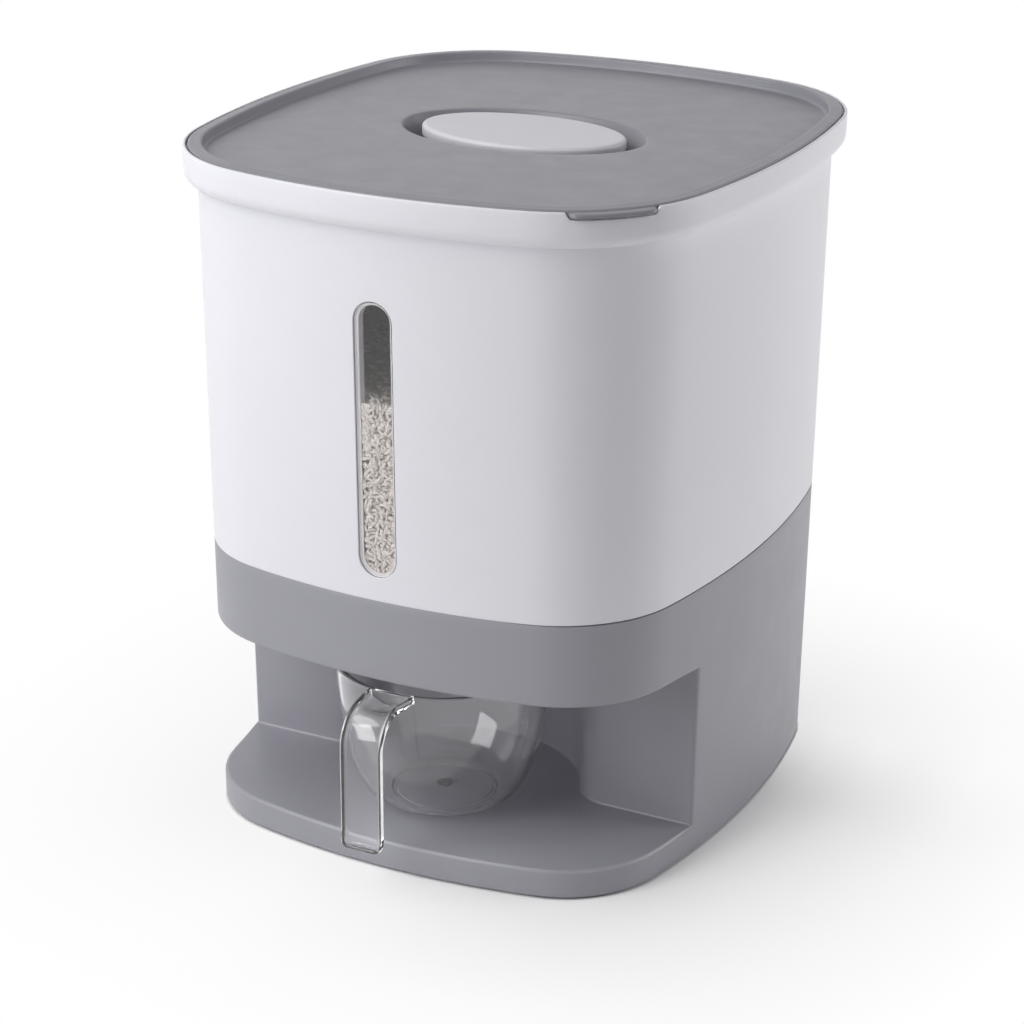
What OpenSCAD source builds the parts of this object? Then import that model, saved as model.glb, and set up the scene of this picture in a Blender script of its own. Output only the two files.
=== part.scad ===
// Rice dispenser: a tapered white bin on a grey base, a lift-off lid with a sunk grip,
// a sight window, and a clear measuring cup in a front niche. Pushing the cup back
// opens a spring-loaded shutter under the hopper. Millimetres, +Z up, front towards -Y,
// the origin under the middle of the object's outer box.

/* [Overall] */
// Width over the bin's collar
rim_w = 280; // [250:1:320]
// Depth over the bin's collar
rim_d = 310; // [280:1:350]
// Height from the table to the top of the lid
total_h = 340; // [300:1:420]

/* [Body outline] */
// How far the collar stands out from the body
collar_out = 6.5; // [4:0.5:9]
// How much each side draws in from top to table
side_taper = 5; // [2:0.5:9]
// How much the front and the back draw in from top to table
front_taper = 6.1; // [2:0.1:9]
// Bulge of the front and the back over their chord, at the top
front_bow_top = 29.4; // [20:0.1:36]
// Bulge of the front and the back over their chord, at the table
front_bow_bottom = 23.8; // [16:0.1:30]
// Bulge of the sides over their chord, at the top
side_bow_top = 22.9; // [16:0.1:28]
// Bulge of the sides over their chord, at the table
side_bow_bottom = 22.5; // [16:0.1:28]
// Corner radius at the top
corner_r_top = 70.7; // [55:0.1:80]
// Corner radius at the table
corner_r_bottom = 54.9; // [45:0.1:65]

/* [Bin] */
// Wall of the bin
bin_wall = 2.6; // [2:0.1:3.5]
// Height of the collar
collar_h = 17.6; // [14:0.1:24]
// How far the collar's top lies below the lid's top
rim_drop = 0.8; // [0.4:0.1:2]
// Width of the white edge around the lid
rim_edge = 1.6; // [1:0.1:3]
// Depth of the seat that holds the lid's flange
seat_depth = 3; // [2:0.1:4]
// Thickness of the flange at the bin's foot
foot_flange_t = 2.5; // [1.5:0.1:4]
// Width of the flange at the bin's foot
foot_flange_w = 10.9; // [8:0.1:14]

/* [Window] */
// Width of the window slot
window_w = 20.5; // [16:0.5:30]
// Height of the window slot
window_h = 134; // [90:1:150]
// Height of the slot's lower end above the seam
window_rise = 11.4; // [8:0.1:40]
// Thickness of the clear lens
lens_t = 2; // [1.5:0.1:3]
// Width of the step that carries the lens
lens_step = 2; // [1:0.1:3]
// Depth of the frame behind the lens
frame_depth = 6.2; // [3:0.1:9]
// Wall of the frame
frame_wall = 1.6; // [1.2:0.1:3]

/* [Lid] */
// Width of the raised bead around the lid
bead_w = 6.1; // [4:0.1:9]
// Depth of the lid's sunk top below the bead
lid_sink = 5; // [3:0.1:8]
// Draft of the bead's inner side
bead_draft = 1.9; // [0.5:0.1:3]
// Thickness of the lid
lid_t = 2.2; // [1.6:0.1:3.5]
// Depth of the lid's plug below its flange
plug_h = 13; // [10:0.5:18]
// Wall of the lid's plug
plug_wall = 3; // [2:0.1:4]
// Height of the lid gasket
gasket_h = 4; // [3:0.1:6]
// How far the gasket is let into the plug
gasket_sunk = 1.2; // [0.8:0.1:2]
// Reach of the finger tab past the collar
tab_out = 2.3; // [2:0.1:6]
// Half the angle that the finger tab spans around its corner
tab_half_angle = 15; // [10:0.5:20]
// Compass angle of the finger tab around its corner
tab_angle = -46.5; // [-60:0.5:-30]
// Radius of the tab's outer corners
tab_r = 4; // [2:0.5:6]

/* [Grip] */
// Length of the oval finger recess
recess_len = 129; // [116:1:150]
// Width of the oval finger recess
recess_wid = 82; // [74:1:100]
// Depth of the finger recess below the lid's sunk top
recess_deep = 14; // [11:0.5:20]
// How much the recess draws in towards its floor
recess_draft = 7; // [3:0.5:9]
// Length of the oval grip plate
plate_len = 106.4; // [90:0.5:112]
// Width of the oval grip plate
plate_wid = 63.4; // [50:0.5:66]
// Thickness of the grip plate
plate_t = 6.5; // [6:0.5:10]
// Height of the plate above the lid's sunk top
plate_proud = 0.6; // [0:0.1:2]
// Length of the neck under the plate
neck_len = 78; // [60:1:84]
// Width of the neck under the plate
neck_wid = 36; // [28:1:44]

/* [Base] */
// Wall of the base
base_wall = 3; // [2.4:0.1:4]
// Gap between the base's lower edge and the table
base_lift = 1; // [0.5:0.1:2]
// Height of the tray's top above the table
tray_h = 15.5; // [12:0.5:20]
// Radius that rounds the tray's upper edge
tray_edge_r = 2; // [1:0.5:3]
// Height of the grey band above the niche
band_h = 41.4; // [40:0.1:60]
// Distance of the niche's back wall in front of the middle
niche_y = 59; // [52:0.5:66]
// Radius of the hollow behind the cup
hollow_r = 63.7; // [60:0.1:68]
// Distance of the hollow's centre in front of the middle
hollow_y = 71; // [68:0.5:74]
// Radius where the hollow runs out into the niche's wall
hollow_fillet = 20; // [8:0.5:24]
// Width of the inward ledge that carries the bin
ledge_w = 10; // [8:0.5:13]

/* [Feet] */
// Radius of a rubber foot
foot_r = 6.5; // [4:0.5:8]
// Thickness of a rubber foot
foot_t = 2.2; // [1.6:0.1:3]
// Radius of the boss that holds a foot
foot_boss_r = 8.5; // [7.5:0.5:10]

/* [Cup] */
// Distance of the cup's axis in front of the middle
cup_y = 81.5; // [78:0.5:84]
// Height of the cup
cup_h = 75.2; // [60:0.1:80]
// Outer radius at the cup's rim
cup_rim_r = 53.8; // [46:0.1:54]
// Radius of the cup's flat bottom
cup_flat_r = 31; // [28:0.5:36]
// Fullness of the bowl's curve
cup_full = 1.8; // [1.5:0.05:2.4]
// Wall of the cup
cup_wall = 2; // [1.5:0.1:3]
// Outer radius of the foot ring
ring_r = 26.7; // [20:0.1:28]
// Height of the foot ring
ring_h = 1.3; // [0.8:0.1:2]
// Width of the foot ring
ring_w = 2.4; // [1.5:0.1:4]
// Reach of the handle from the cup's axis
handle_reach = 83.5; // [78:0.5:90]
// Width of the handle
handle_w = 21.8; // [16:0.1:28]
// Thickness of the handle's web
handle_t = 2; // [1.6:0.1:3]
// Height of the handle's side rims
handle_rim = 2.4; // [1:0.1:4]
// Width of the handle's side rims
handle_rim_w = 2; // [1.4:0.1:3]
// Bend radius at the top of the handle
handle_bend = 19; // [12:0.5:22]
// Height of the handle's end above the tray
handle_end = 5; // [3:0.5:15]
// Radius of the handle's end corners
handle_end_r = 4; // [2:0.5:6]

/* [Hopper] */
// Wall of the hopper
hopper_wall = 2; // [1.6:0.1:3]
// Height of the hopper's front edge above the bin's foot flange
hopper_front = 4.6; // [4:0.1:4.8]
// Drop of the hopper's lip, where it passes the foot flange, below the rim's plane
lip_drop = 5; // [4:0.1:6]
// Rise of the hopper's rim per unit of depth
hopper_slope_share = 0.23; // [0.15:0.01:0.3]
// Length of the outlet across the object
outlet_w = 36; // [28:1:44]
// Length of the outlet from front to back
outlet_l = 14; // [10:0.5:15]
// Squareness of the outlet: 2 is an ellipse
outlet_square = 4; // [2:0.5:6]
// Height of the straight throat
throat_h = 4; // [3:0.5:8]
// Thickness of the soft ring under the hopper
ring_seal_t = 1; // [0.6:0.1:2]
// Thickness of the hopper's lower flange
hopper_flange_t = 2.4; // [2:0.1:4]

/* [Valve] */
// Travel of the shutter
travel = 16.5; // [16:0.1:16.8]
// Distance of the outlet behind the cup's axis
outlet_back = 7.5; // [4:0.5:9]
// Thickness of the shutter
shutter_t = 3.8; // [3:0.1:5]
// Width of the shutter beyond the outlet, each side
shutter_side = 12; // [9:0.5:16]
// Land in front of the shutter's opening
shutter_land = 6; // [4:0.5:10]
// Roof of the valve body
roof_t = 2.4; // [2:0.1:4]
// Width of the valve body's rails
rail_w = 6; // [5:0.1:8]
// Thickness of the valve's lower cover
cover_t = 2.4; // [2:0.1:4]
// Height of the valve's cover above the band's lower edge
cover_rise = 1; // [0.6:0.1:3]
// Thickness of the pusher
pusher_t = 2.4; // [2:0.1:2.6]
// Width of the pusher
pusher_w = 14; // [10:1:24]
// How far the pusher reaches below the cup's rim
pusher_drop = 9; // [6:0.5:16]
// Length of the springs at rest
spring_len = 36; // [30:1:44]
// Outer radius of a spring
spring_r = 3.5; // [2.5:0.1:4]
// Wire of a spring
spring_wire = 0.9; // [0.6:0.1:1.2]
// Distance between the two springs
spring_gauge = 40; // [30:1:50]
// Length of the spout under the valve
spout_h = 5; // [3:0.5:7]

/* [Screws] */
// Radius of the small screws
screw_r = 1.2; // [1:0.1:1.5]
// Radius of a screw's head
head_r = 2.6; // [2:0.1:3]
// Height of a screw's head
head_h = 1.4; // [1:0.1:2]

/* [Clearances] */
// Gap around a fixed fit
fit = 0.1; // [0.05:0.01:0.2]
// Gap around a sliding fit
slide = 0.3; // [0.2:0.05:0.4]
// Gap around the lid
lid_gap = 0.5; // [0.3:0.1:0.8]
// Headroom over the cup's rim
cup_headroom = 9.6; // [8:0.1:14]

/* [Hidden] */

WHITE = [0.93, 0.93, 0.94];
GREY = [0.58, 0.58, 0.61];
PALE = [0.80, 0.80, 0.82];
CLEAR = [0.85, 0.88, 0.92, 0.35];
RUBBER = [0.25, 0.25, 0.27];
SEAL = [0.82, 0.83, 0.84];
STEEL = [0.70, 0.70, 0.72];

cut = 1;
round_fn = 96;
small_fn = 48;

// Points of the body's outline in one quarter: front arc, corner arc, side arc
n_front = 4;
n_corner = 8;
n_side = 4;
n_quarter = n_front + n_corner + n_side;
n_ring = 4 * n_quarter;

// Outer box
back_y = rim_d / 2;
front_y = -cup_y - handle_reach;
origin_shift = -(front_y + back_y) / 2;

// Body sizes at the top and at the table
top_w = rim_w - 2 * collar_out;
top_d = rim_d - 2 * collar_out;
bottom_w = top_w - 2 * side_taper;
bottom_d = top_d - 2 * front_taper;

// Heights, from the table up
tray_z = tray_h;
cup_z = tray_z + slide;
cup_rim_z = cup_z + cup_h;
band_z = cup_rim_z + cup_headroom;
seam_z = band_z + band_h;
bin_floor_z = seam_z + foot_flange_t;
hopper_foot_z = bin_floor_z + ring_seal_t;
window_low_z = seam_z + window_rise;
rim_z = total_h - rim_drop;
collar_z = rim_z - collar_h;
seat_z = total_h - seat_depth;
panel_z = total_h - lid_sink;
panel_under_z = panel_z - lid_t;
plug_z = seat_z - plug_h;
recess_z = panel_z - recess_deep;
cover_z = band_z + cover_rise;
channel_z = cover_z + cover_t;
shutter_z = channel_z + slide;
shutter_top_z = shutter_z + shutter_t;
roof_z = shutter_top_z + slide;
hopper_z = roof_z + roof_t;
ledge_t = foot_flange_t;

// Distances out from the body's outline: + is outwards, - inwards
mouth_grow = collar_out - rim_edge - fit - bead_w + bead_draft;
plug_grow = mouth_grow - lid_gap;
lid_grow = collar_out - rim_edge - fit;
seat_grow = collar_out - rim_edge;
bin_in_grow = -bin_wall;
hopper_grow = bin_in_grow - 2 * fit - slide;
hopper_in_grow = hopper_grow - hopper_wall;
foot_in_grow = bin_in_grow - foot_flange_w;
lip_grow = foot_in_grow - slide;
ledge_in_grow = -base_wall - ledge_w;
boss_grow = foot_in_grow + fit + head_r + screw_r;

// The quarter's middle corner point, the middle of a side, and their mirror images
frame_spots = [
    for (q = [0, 1, 2, 3]) q * n_quarter + n_front * (1 - q % 2) + n_side * (q % 2) + n_corner / 2,
    n_quarter, 3 * n_quarter
];

// Valve places along the depth
outlet_y = -cup_y + outlet_back;
shutter_front_y = outlet_y - travel - outlet_l / 2 - shutter_land;
push_y = -cup_y + cup_rim_r + slide;
shutter_back_y = push_y + pusher_t;
spring_wall_y = shutter_back_y + spring_len;
shutter_w = outlet_w + 2 * shutter_side;
channel_w = shutter_w + 2 * slide;
valve_w = channel_w + 2 * rail_w;
valve_front_y = shutter_front_y - slide - rail_w;
valve_back_y = spring_wall_y + base_wall;
spring_z = roof_z + spring_r;
post_top_z = spring_z + spring_r;
peg_r = spring_r - spring_wire - fit;
peg_share = 0.6;
peg_l = 2 * spring_r * peg_share;
spring_top_z = post_top_z + slide + roof_t;
ear_w = valve_w + 4 * head_r + 2 * screw_r;
ear_l = outlet_l + 2 * shutter_side + 4 * head_r;
ear_x = (valve_w + ear_w) / 4;
ear_y = ear_l / 2 - head_r - screw_r;
rail_x = (channel_w + rail_w) / 2;
cover_screw_ys = [valve_front_y + rail_w / 2, valve_back_y - rail_w / 2];

function mix(low, high, t) = low + (high - low) * t;
function dir(angle) = [cos(angle), sin(angle)];
function bow_radius(half, bow) = (half * half + bow * bow) / (2 * bow);

// Half sizes, bows and corner of the body's outline at height z:
// [half width, half depth, front radius, side radius, corner radius]
function body_at(z) =
    let (
        t = z / total_h,
        a = mix(bottom_w, top_w, t) / 2,
        b = mix(bottom_d, top_d, t) / 2,
        front = bow_radius(a, mix(front_bow_bottom, front_bow_top, t)),
        side = bow_radius(b, mix(side_bow_bottom, side_bow_top, t))
    ) [a, b, front, side, mix(corner_r_bottom, corner_r_top, t)];

// Centres of the front arc, the side arc and the corner arc that touches both
function centres_at(z) =
    let (
        s = body_at(z),
        f = [0, s[2] - s[1]],
        g = [s[0] - s[3], 0],
        p = s[2] - s[4],
        q = s[3] - s[4],
        d = norm(g - f),
        t = (p * p - q * q + d * d) / (2 * d),
        h = sqrt(p * p - t * t),
        u = (g - f) / d
    ) [f, g, f + u * t + [-u.y, u.x] * h];

// Point k of the quarter at +X, -Y, moved out by grow
function quarter_point(z, grow, k) =
    let (
        s = body_at(z),
        c = centres_at(z),
        a0 = atan2(c[2].y - c[0].y, c[2].x - c[0].x),
        a1 = atan2(c[2].y - c[1].y, c[2].x - c[1].x)
    )
    k <= n_front ? c[0] + (s[2] + grow) * dir(mix(-90, a0, k / n_front))
    : k <= n_front + n_corner ? c[2] + (s[4] + grow) * dir(mix(a0, a1, (k - n_front) / n_corner))
    : c[1] + (s[3] + grow) * dir(mix(a1, 0, (k - n_front - n_corner) / n_side));

// The four quarters follow each other anticlockwise from the middle of the front
function quarter_step(i) = floor(i / n_quarter) % 2 == 0 ? i % n_quarter : n_quarter - i % n_quarter;
function quarter_turn(i, p) =
    let (q = floor(i / n_quarter) % 4) [q < 2 ? p.x : -p.x, q == 0 || q == 3 ? p.y : -p.y];
function outline_point(z, grow, i) = quarter_turn(i, quarter_point(z, grow, quarter_step(i)));
function ring(z, grow) = [for (i = [0:n_ring - 1]) let (p = outline_point(z, grow, i)) [p.x, p.y, z]];

// The hopper's rim lies in a plane that rises from front to back
function slope_z(y) = hopper_foot_z + hopper_front + hopper_slope_share * (y + top_d / 2);
function sloped_ring(grow, lift) = [
    for (i = [0:n_ring - 1])
        let (
            rough = outline_point(seam_z, grow, i),
            p = outline_point(slope_z(rough.y), grow, i)
        ) [p.x, p.y, slope_z(p.y) + lift]
];

// The outlet's outline, a superellipse with as many points as the body's
function flat_pow(v) = sign(v) * pow(abs(v), 2 / outlet_square);
function outlet_point(grow, i) =
    let (p = dir(mix(-90, 270, i / n_ring)))
    [(outlet_w / 2 + grow) * flat_pow(p.x), (outlet_l / 2 + grow) * flat_pow(p.y)];
function outlet_ring(grow, z) = [
    for (i = [0:n_ring - 1]) let (p = outlet_point(grow, i)) [p.x, p.y + outlet_y, z]
];
function oval_ring(len, wid, z) = [
    for (i = [0:n_ring - 1])
        let (p = dir(mix(-90, 270, i / n_ring))) [p.x * len / 2, p.y * wid / 2, z]
];

// Solid skin through a stack of rings, from the lowest up
module loft(rings) {
    n = len(rings[0]);
    m = len(rings);
    polyhedron(
        points = [for (r = rings) each r],
        faces = concat(
            [[for (i = [0:n - 1]) i]],
            [[for (i = [n - 1:-1:0]) (m - 1) * n + i]],
            [for (k = [0:m - 2]) for (i = [0:n - 1]) [k * n + i, (k + 1) * n + i, (k + 1) * n + (i + 1) % n]],
            [for (k = [0:m - 2]) for (i = [0:n - 1]) [k * n + i, (k + 1) * n + (i + 1) % n, k * n + (i + 1) % n]]
        )
    );
}

// Body-shaped solid from [height, grow] pairs
module body_loft(steps) {
    loft([for (s = steps) ring(s[0], s[1])]);
}

// Moves a piece from the middle of the collar to the origin under the outer box
module placed() {
    translate([0, origin_shift, 0]) children();
}

module block(x, y, z) {
    translate([x[0], y[0], z[0]]) cube([x[1] - x[0], y[1] - y[0], z[1] - z[0]]);
}

module rod(x, y, z, r, fn = small_fn) {
    translate([x, y, z[0]]) cylinder(r = r, h = z[1] - z[0], $fn = fn);
}

// Holes for the six screws that join base, bin and hopper
module frame_holes(z) {
    for (i = frame_spots) {
        p = outline_point(seam_z, boss_grow, i);
        rod(p.x, p.y, z, screw_r + fit);
    }
}

// Upright slot with round ends, run through the front wall
module window_slot(grow) {
    r = window_w / 2 + grow;
    rotate([90, 0, 0]) linear_extrude(back_y) {
        translate([0, window_low_z + window_w / 2]) circle(r, $fn = small_fn);
        translate([0, window_low_z + window_h - window_w / 2]) circle(r, $fn = small_fn);
        translate([-r, window_low_z + window_w / 2]) square([2 * r, window_h - window_w]);
    }
}

// Flat sector around the front right corner, with round outer corners
function sector_points(z, r_in, r_out, half_angle, r) =
    let (
        c = centres_at(z)[2],
        in = asin(r / (r_out - r)),
        a0 = tab_angle - half_angle,
        a1 = tab_angle + half_angle,
        steps = n_corner
    ) concat(
        [c + r_in * dir(a0)],
        [for (k = [0:steps]) c + (r_out - r) * dir(a0 + in) + r * dir(mix(a0 - 90, a0 + in, k / steps))],
        [for (k = [1:steps - 1]) c + r_out * dir(mix(a0 + in, a1 - in, k / steps))],
        [for (k = [0:steps]) c + (r_out - r) * dir(a1 - in) + r * dir(mix(a1 - in, a1 + 90, k / steps))],
        [for (k = [0:steps - 1]) c + r_in * dir(mix(a1, a0, k / steps))]
    );

module corner_sector(z, h, grow_in, grow_out, half_angle, r) {
    r0 = body_at(z)[4];
    translate([0, 0, z])
        linear_extrude(h) polygon(sector_points(z, r0 + grow_in, r0 + grow_out, half_angle, r));
}

// White bin: tapered wall, round collar, seat for the lid, framed window slot, foot flange
module bin_shell() placed() color(WHITE) {
    notch_z = seat_z - lid_gap;
    notch_angle = tab_half_angle + lid_gap;
    difference() {
        union() {
            difference() {
                body_loft(concat(
                    [[seam_z, 0]],
                    [for (k = [0:n_side]) let (p = dir(mix(-90, 0, k / n_side)))
                        [collar_z + collar_out * (1 + p.y), collar_out * p.x]],
                    [[rim_z - rim_edge / 2, collar_out], [rim_z, collar_out - rim_edge / 2]]
                ));
                body_loft([
                    [bin_floor_z, bin_in_grow],
                    [collar_z, bin_in_grow],
                    [collar_z + rim_edge, mouth_grow],
                    [seat_z, mouth_grow],
                    [seat_z, seat_grow],
                    [total_h + cut, seat_grow]
                ]);
                body_loft([[seam_z - cut, foot_in_grow], [bin_floor_z + cut, foot_in_grow]]);
            }
            difference() {
                intersection() {
                    window_slot(frame_wall - lens_step + fit);
                    body_loft([[seam_z, -bin_wall / 2], [collar_z, -bin_wall / 2]]);
                }
                body_loft([[seam_z - cut, -lens_t - frame_depth], [collar_z + cut, -lens_t - frame_depth]]);
            }
            difference() {
                intersection() {
                    window_slot(frame_wall);
                    body_loft([[seam_z, -bin_wall / 2], [collar_z, -bin_wall / 2]]);
                }
                body_loft([[seam_z - cut, -lens_t - frame_wall], [collar_z + cut, -lens_t - frame_wall]]);
            }
        }
        frame_holes([seam_z - cut, bin_floor_z + cut]);
        window_slot(-lens_step);
        difference() {
            window_slot(0);
            body_loft([[seam_z - cut, -lens_t - fit], [collar_z + cut, -lens_t - fit]]);
        }
        corner_sector(notch_z, total_h + cut - notch_z, mouth_grow, 2 * collar_out + tab_out, notch_angle, tab_r);
    }
}

// Clear strip that lies flush in the window slot
module window_lens() placed() color(CLEAR) {
    difference() {
        intersection() {
            window_slot(-fit);
            body_loft([[seam_z, -fit], [collar_z, -fit]]);
        }
        body_loft([[seam_z - cut, -lens_t], [collar_z + cut, -lens_t]]);
    }
}

// Grey lid: raised bead, sunk panel, plug with a gasket groove, oval recess, corner tab
module lid() placed() color(GREY) {
    gasket_z = plug_z + gasket_h * 3 / 4;
    round_r = rim_drop;
    difference() {
        union() {
            body_loft([
                [plug_z, plug_grow],
                [gasket_z - fit, plug_grow],
                [gasket_z - fit, plug_grow - gasket_sunk],
                [gasket_z + gasket_h + fit, plug_grow - gasket_sunk],
                [gasket_z + gasket_h + fit, plug_grow],
                [seat_z, plug_grow],
                [seat_z, lid_grow],
                [total_h - round_r, lid_grow],
                [total_h, lid_grow - round_r]
            ]);
            corner_sector(seat_z, seat_depth - fit, lid_grow - bead_w / 2, collar_out + tab_out, tab_half_angle, tab_r);
            loft([
                oval_ring(recess_len - 2 * recess_draft + 2 * lid_t, recess_wid - 2 * recess_draft + 2 * lid_t, recess_z - lid_t),
                oval_ring(recess_len + 2 * lid_t, recess_wid + 2 * lid_t, panel_z)
            ]);
        }
        difference() {
            body_loft([[plug_z - cut, plug_grow - plug_wall], [panel_under_z, plug_grow - plug_wall]]);
            loft([
                oval_ring(recess_len - 2 * recess_draft + 2 * lid_t, recess_wid - 2 * recess_draft + 2 * lid_t, recess_z - lid_t),
                oval_ring(recess_len + 2 * lid_t, recess_wid + 2 * lid_t, panel_z)
            ]);
        }
        body_loft([
            [panel_z, lid_grow - bead_w - bead_draft],
            [total_h, lid_grow - bead_w],
            [total_h + cut, lid_grow - bead_w]
        ]);
        loft([
            oval_ring(recess_len - 2 * recess_draft, recess_wid - 2 * recess_draft, recess_z),
            oval_ring(recess_len, recess_wid, panel_z),
            oval_ring(recess_len, recess_wid, panel_z + cut)
        ]);
        for (side = [-1, 1])
            rod(side * neck_len / 4, 0, [recess_z - lid_t - cut, recess_z + cut], screw_r + fit);
    }
}

// Soft ring in the groove of the lid's plug
module lid_gasket() placed() color(SEAL) {
    gasket_z = plug_z + gasket_h * 3 / 4;
    difference() {
        body_loft([
            [gasket_z, mouth_grow - slide],
            [gasket_z + gasket_h, mouth_grow - slide]
        ]);
        body_loft([
            [gasket_z - cut, plug_grow - gasket_sunk + fit],
            [gasket_z + gasket_h + cut, plug_grow - gasket_sunk + fit]
        ]);
    }
}

// Pale oval plate on a neck, screwed into the recess from below
module grip_plate() placed() color(PALE) {
    top = panel_z + plate_proud;
    low = top - plate_t;
    edge = plate_proud;
    difference() {
        union() {
            loft([
                oval_ring(plate_len - 2 * edge, plate_wid - 2 * edge, low),
                oval_ring(plate_len, plate_wid, low + edge),
                oval_ring(plate_len, plate_wid, top - edge),
                oval_ring(plate_len - 2 * edge, plate_wid - 2 * edge, top)
            ]);
            loft([
                oval_ring(neck_len, neck_wid, recess_z),
                oval_ring(neck_len, neck_wid, low + edge)
            ]);
        }
        for (side = [-1, 1])
            rod(side * neck_len / 4, 0, [recess_z - cut, low + plate_t / 3], screw_r + fit);
    }
}

module screw(x, y, z, length) {
    rod(x, y, [z - head_h, z], head_r);
    rod(x, y, [z - fit, z + length], screw_r);
}

// Two screws that hold the grip plate
module grip_screws() placed() color(STEEL) {
    length = lid_t + panel_z + plate_proud - plate_t - recess_z;
    for (side = [-1, 1]) screw(side * neck_len / 4, 0, recess_z - lid_t, length);
}

// Sloping floor of the bin, with the outlet throat and the flange that carries the valve
module hopper() placed() color(WHITE) {
    flange_y = [outlet_y - ear_l / 2, outlet_y + ear_l / 2];
    difference() {
        union() {
            loft([ring(hopper_foot_z, hopper_grow), sloped_ring(hopper_grow, 0)]);
            hopper_sheet();
            block([-ear_w / 2, ear_w / 2], flange_y, [hopper_z, hopper_z + hopper_flange_t]);
            for (x = [-ear_x, ear_x], y = [-ear_y, ear_y])
                rod(x, outlet_y + y, [hopper_z, hopper_z + throat_h + hopper_flange_t], head_r + screw_r);
        }
        // Room between the skirt and the sloping sheet
        difference() {
            loft([ring(hopper_foot_z - cut, hopper_in_grow), sloped_ring(hopper_in_grow, -2 * hopper_wall)]);
            hopper_sheet();
            hopper_foot();
        }
        loft([
            outlet_ring(0, hopper_z - cut),
            outlet_ring(0, hopper_z + throat_h),
            sloped_ring(lip_grow, -lip_drop),
            sloped_ring(hopper_in_grow, -hopper_wall / 2),
            sloped_ring(hopper_in_grow, cut)
        ]);
        frame_holes([seam_z - cut, hopper_foot_z + hopper_wall + fit]);
        for (x = [-ear_x, ear_x], y = [-ear_y, ear_y])
            rod(x, outlet_y + y, [hopper_z - cut, hopper_z + throat_h], screw_r + fit);
    }
}

// Underside of the funnel, from the outlet up to the skirt
module hopper_sheet() {
    loft([
        outlet_ring(hopper_wall, hopper_z),
        outlet_ring(hopper_wall, hopper_z + throat_h),
        sloped_ring(lip_grow, -lip_drop - hopper_wall),
        sloped_ring(hopper_in_grow + hopper_wall / 2, -2 * hopper_wall - slide),
        sloped_ring(hopper_in_grow + hopper_wall / 2, -hopper_wall)
    ]);
}

// Rim that rests on the bin's foot flange, with the bosses for the six screws
module hopper_foot() {
    foot_grow = boss_grow - head_r - screw_r;
    difference() {
        body_loft([[hopper_foot_z, hopper_grow], [hopper_foot_z + hopper_wall, hopper_grow]]);
        body_loft([[hopper_foot_z - cut, foot_grow], [hopper_foot_z + hopper_wall + cut, foot_grow]]);
    }
    for (i = frame_spots) {
        p = outline_point(seam_z, boss_grow, i);
        rod(p.x, p.y, [hopper_foot_z, hopper_foot_z + hopper_front / 2], head_r + screw_r);
    }
}

// Soft ring between the bin's foot flange and the hopper
module hopper_gasket() placed() color(SEAL) {
    inner_grow = boss_grow + head_r + screw_r;
    difference() {
        body_loft([[bin_floor_z, hopper_grow], [hopper_foot_z, hopper_grow]]);
        body_loft([[bin_floor_z - cut, inner_grow], [hopper_foot_z + cut, inner_grow]]);
    }
}

// Plan of the niche: open to the front, with a round hollow for the cup; grow widens it
function niche_points(grow) =
    let (
        reach = hollow_r + hollow_fillet,
        rise = hollow_y - niche_y + hollow_fillet,
        side = sqrt(reach * reach - rise * rise),
        turn = atan2(rise, side),
        r = hollow_r + grow,
        f = hollow_fillet - grow,
        wall_y = grow - niche_y,
        fillet_y = hollow_fillet - niche_y,
        steps = 4 * n_corner
    ) concat(
        [[-rim_w, -rim_d], [rim_w, -rim_d], [rim_w, wall_y]],
        [for (k = [0:n_corner]) [side, fillet_y] + f * dir(mix(270, 180 + turn, k / n_corner))],
        [for (k = [1:steps - 1]) [0, -hollow_y] + r * dir(mix(turn, 180 - turn, k / steps))],
        [for (k = [0:n_corner]) [-side, fillet_y] + f * dir(mix(360 - turn, 270, k / n_corner))],
        [[-rim_w, wall_y]]
    );

module niche_plan(grow) {
    polygon(niche_points(grow));
}

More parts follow.
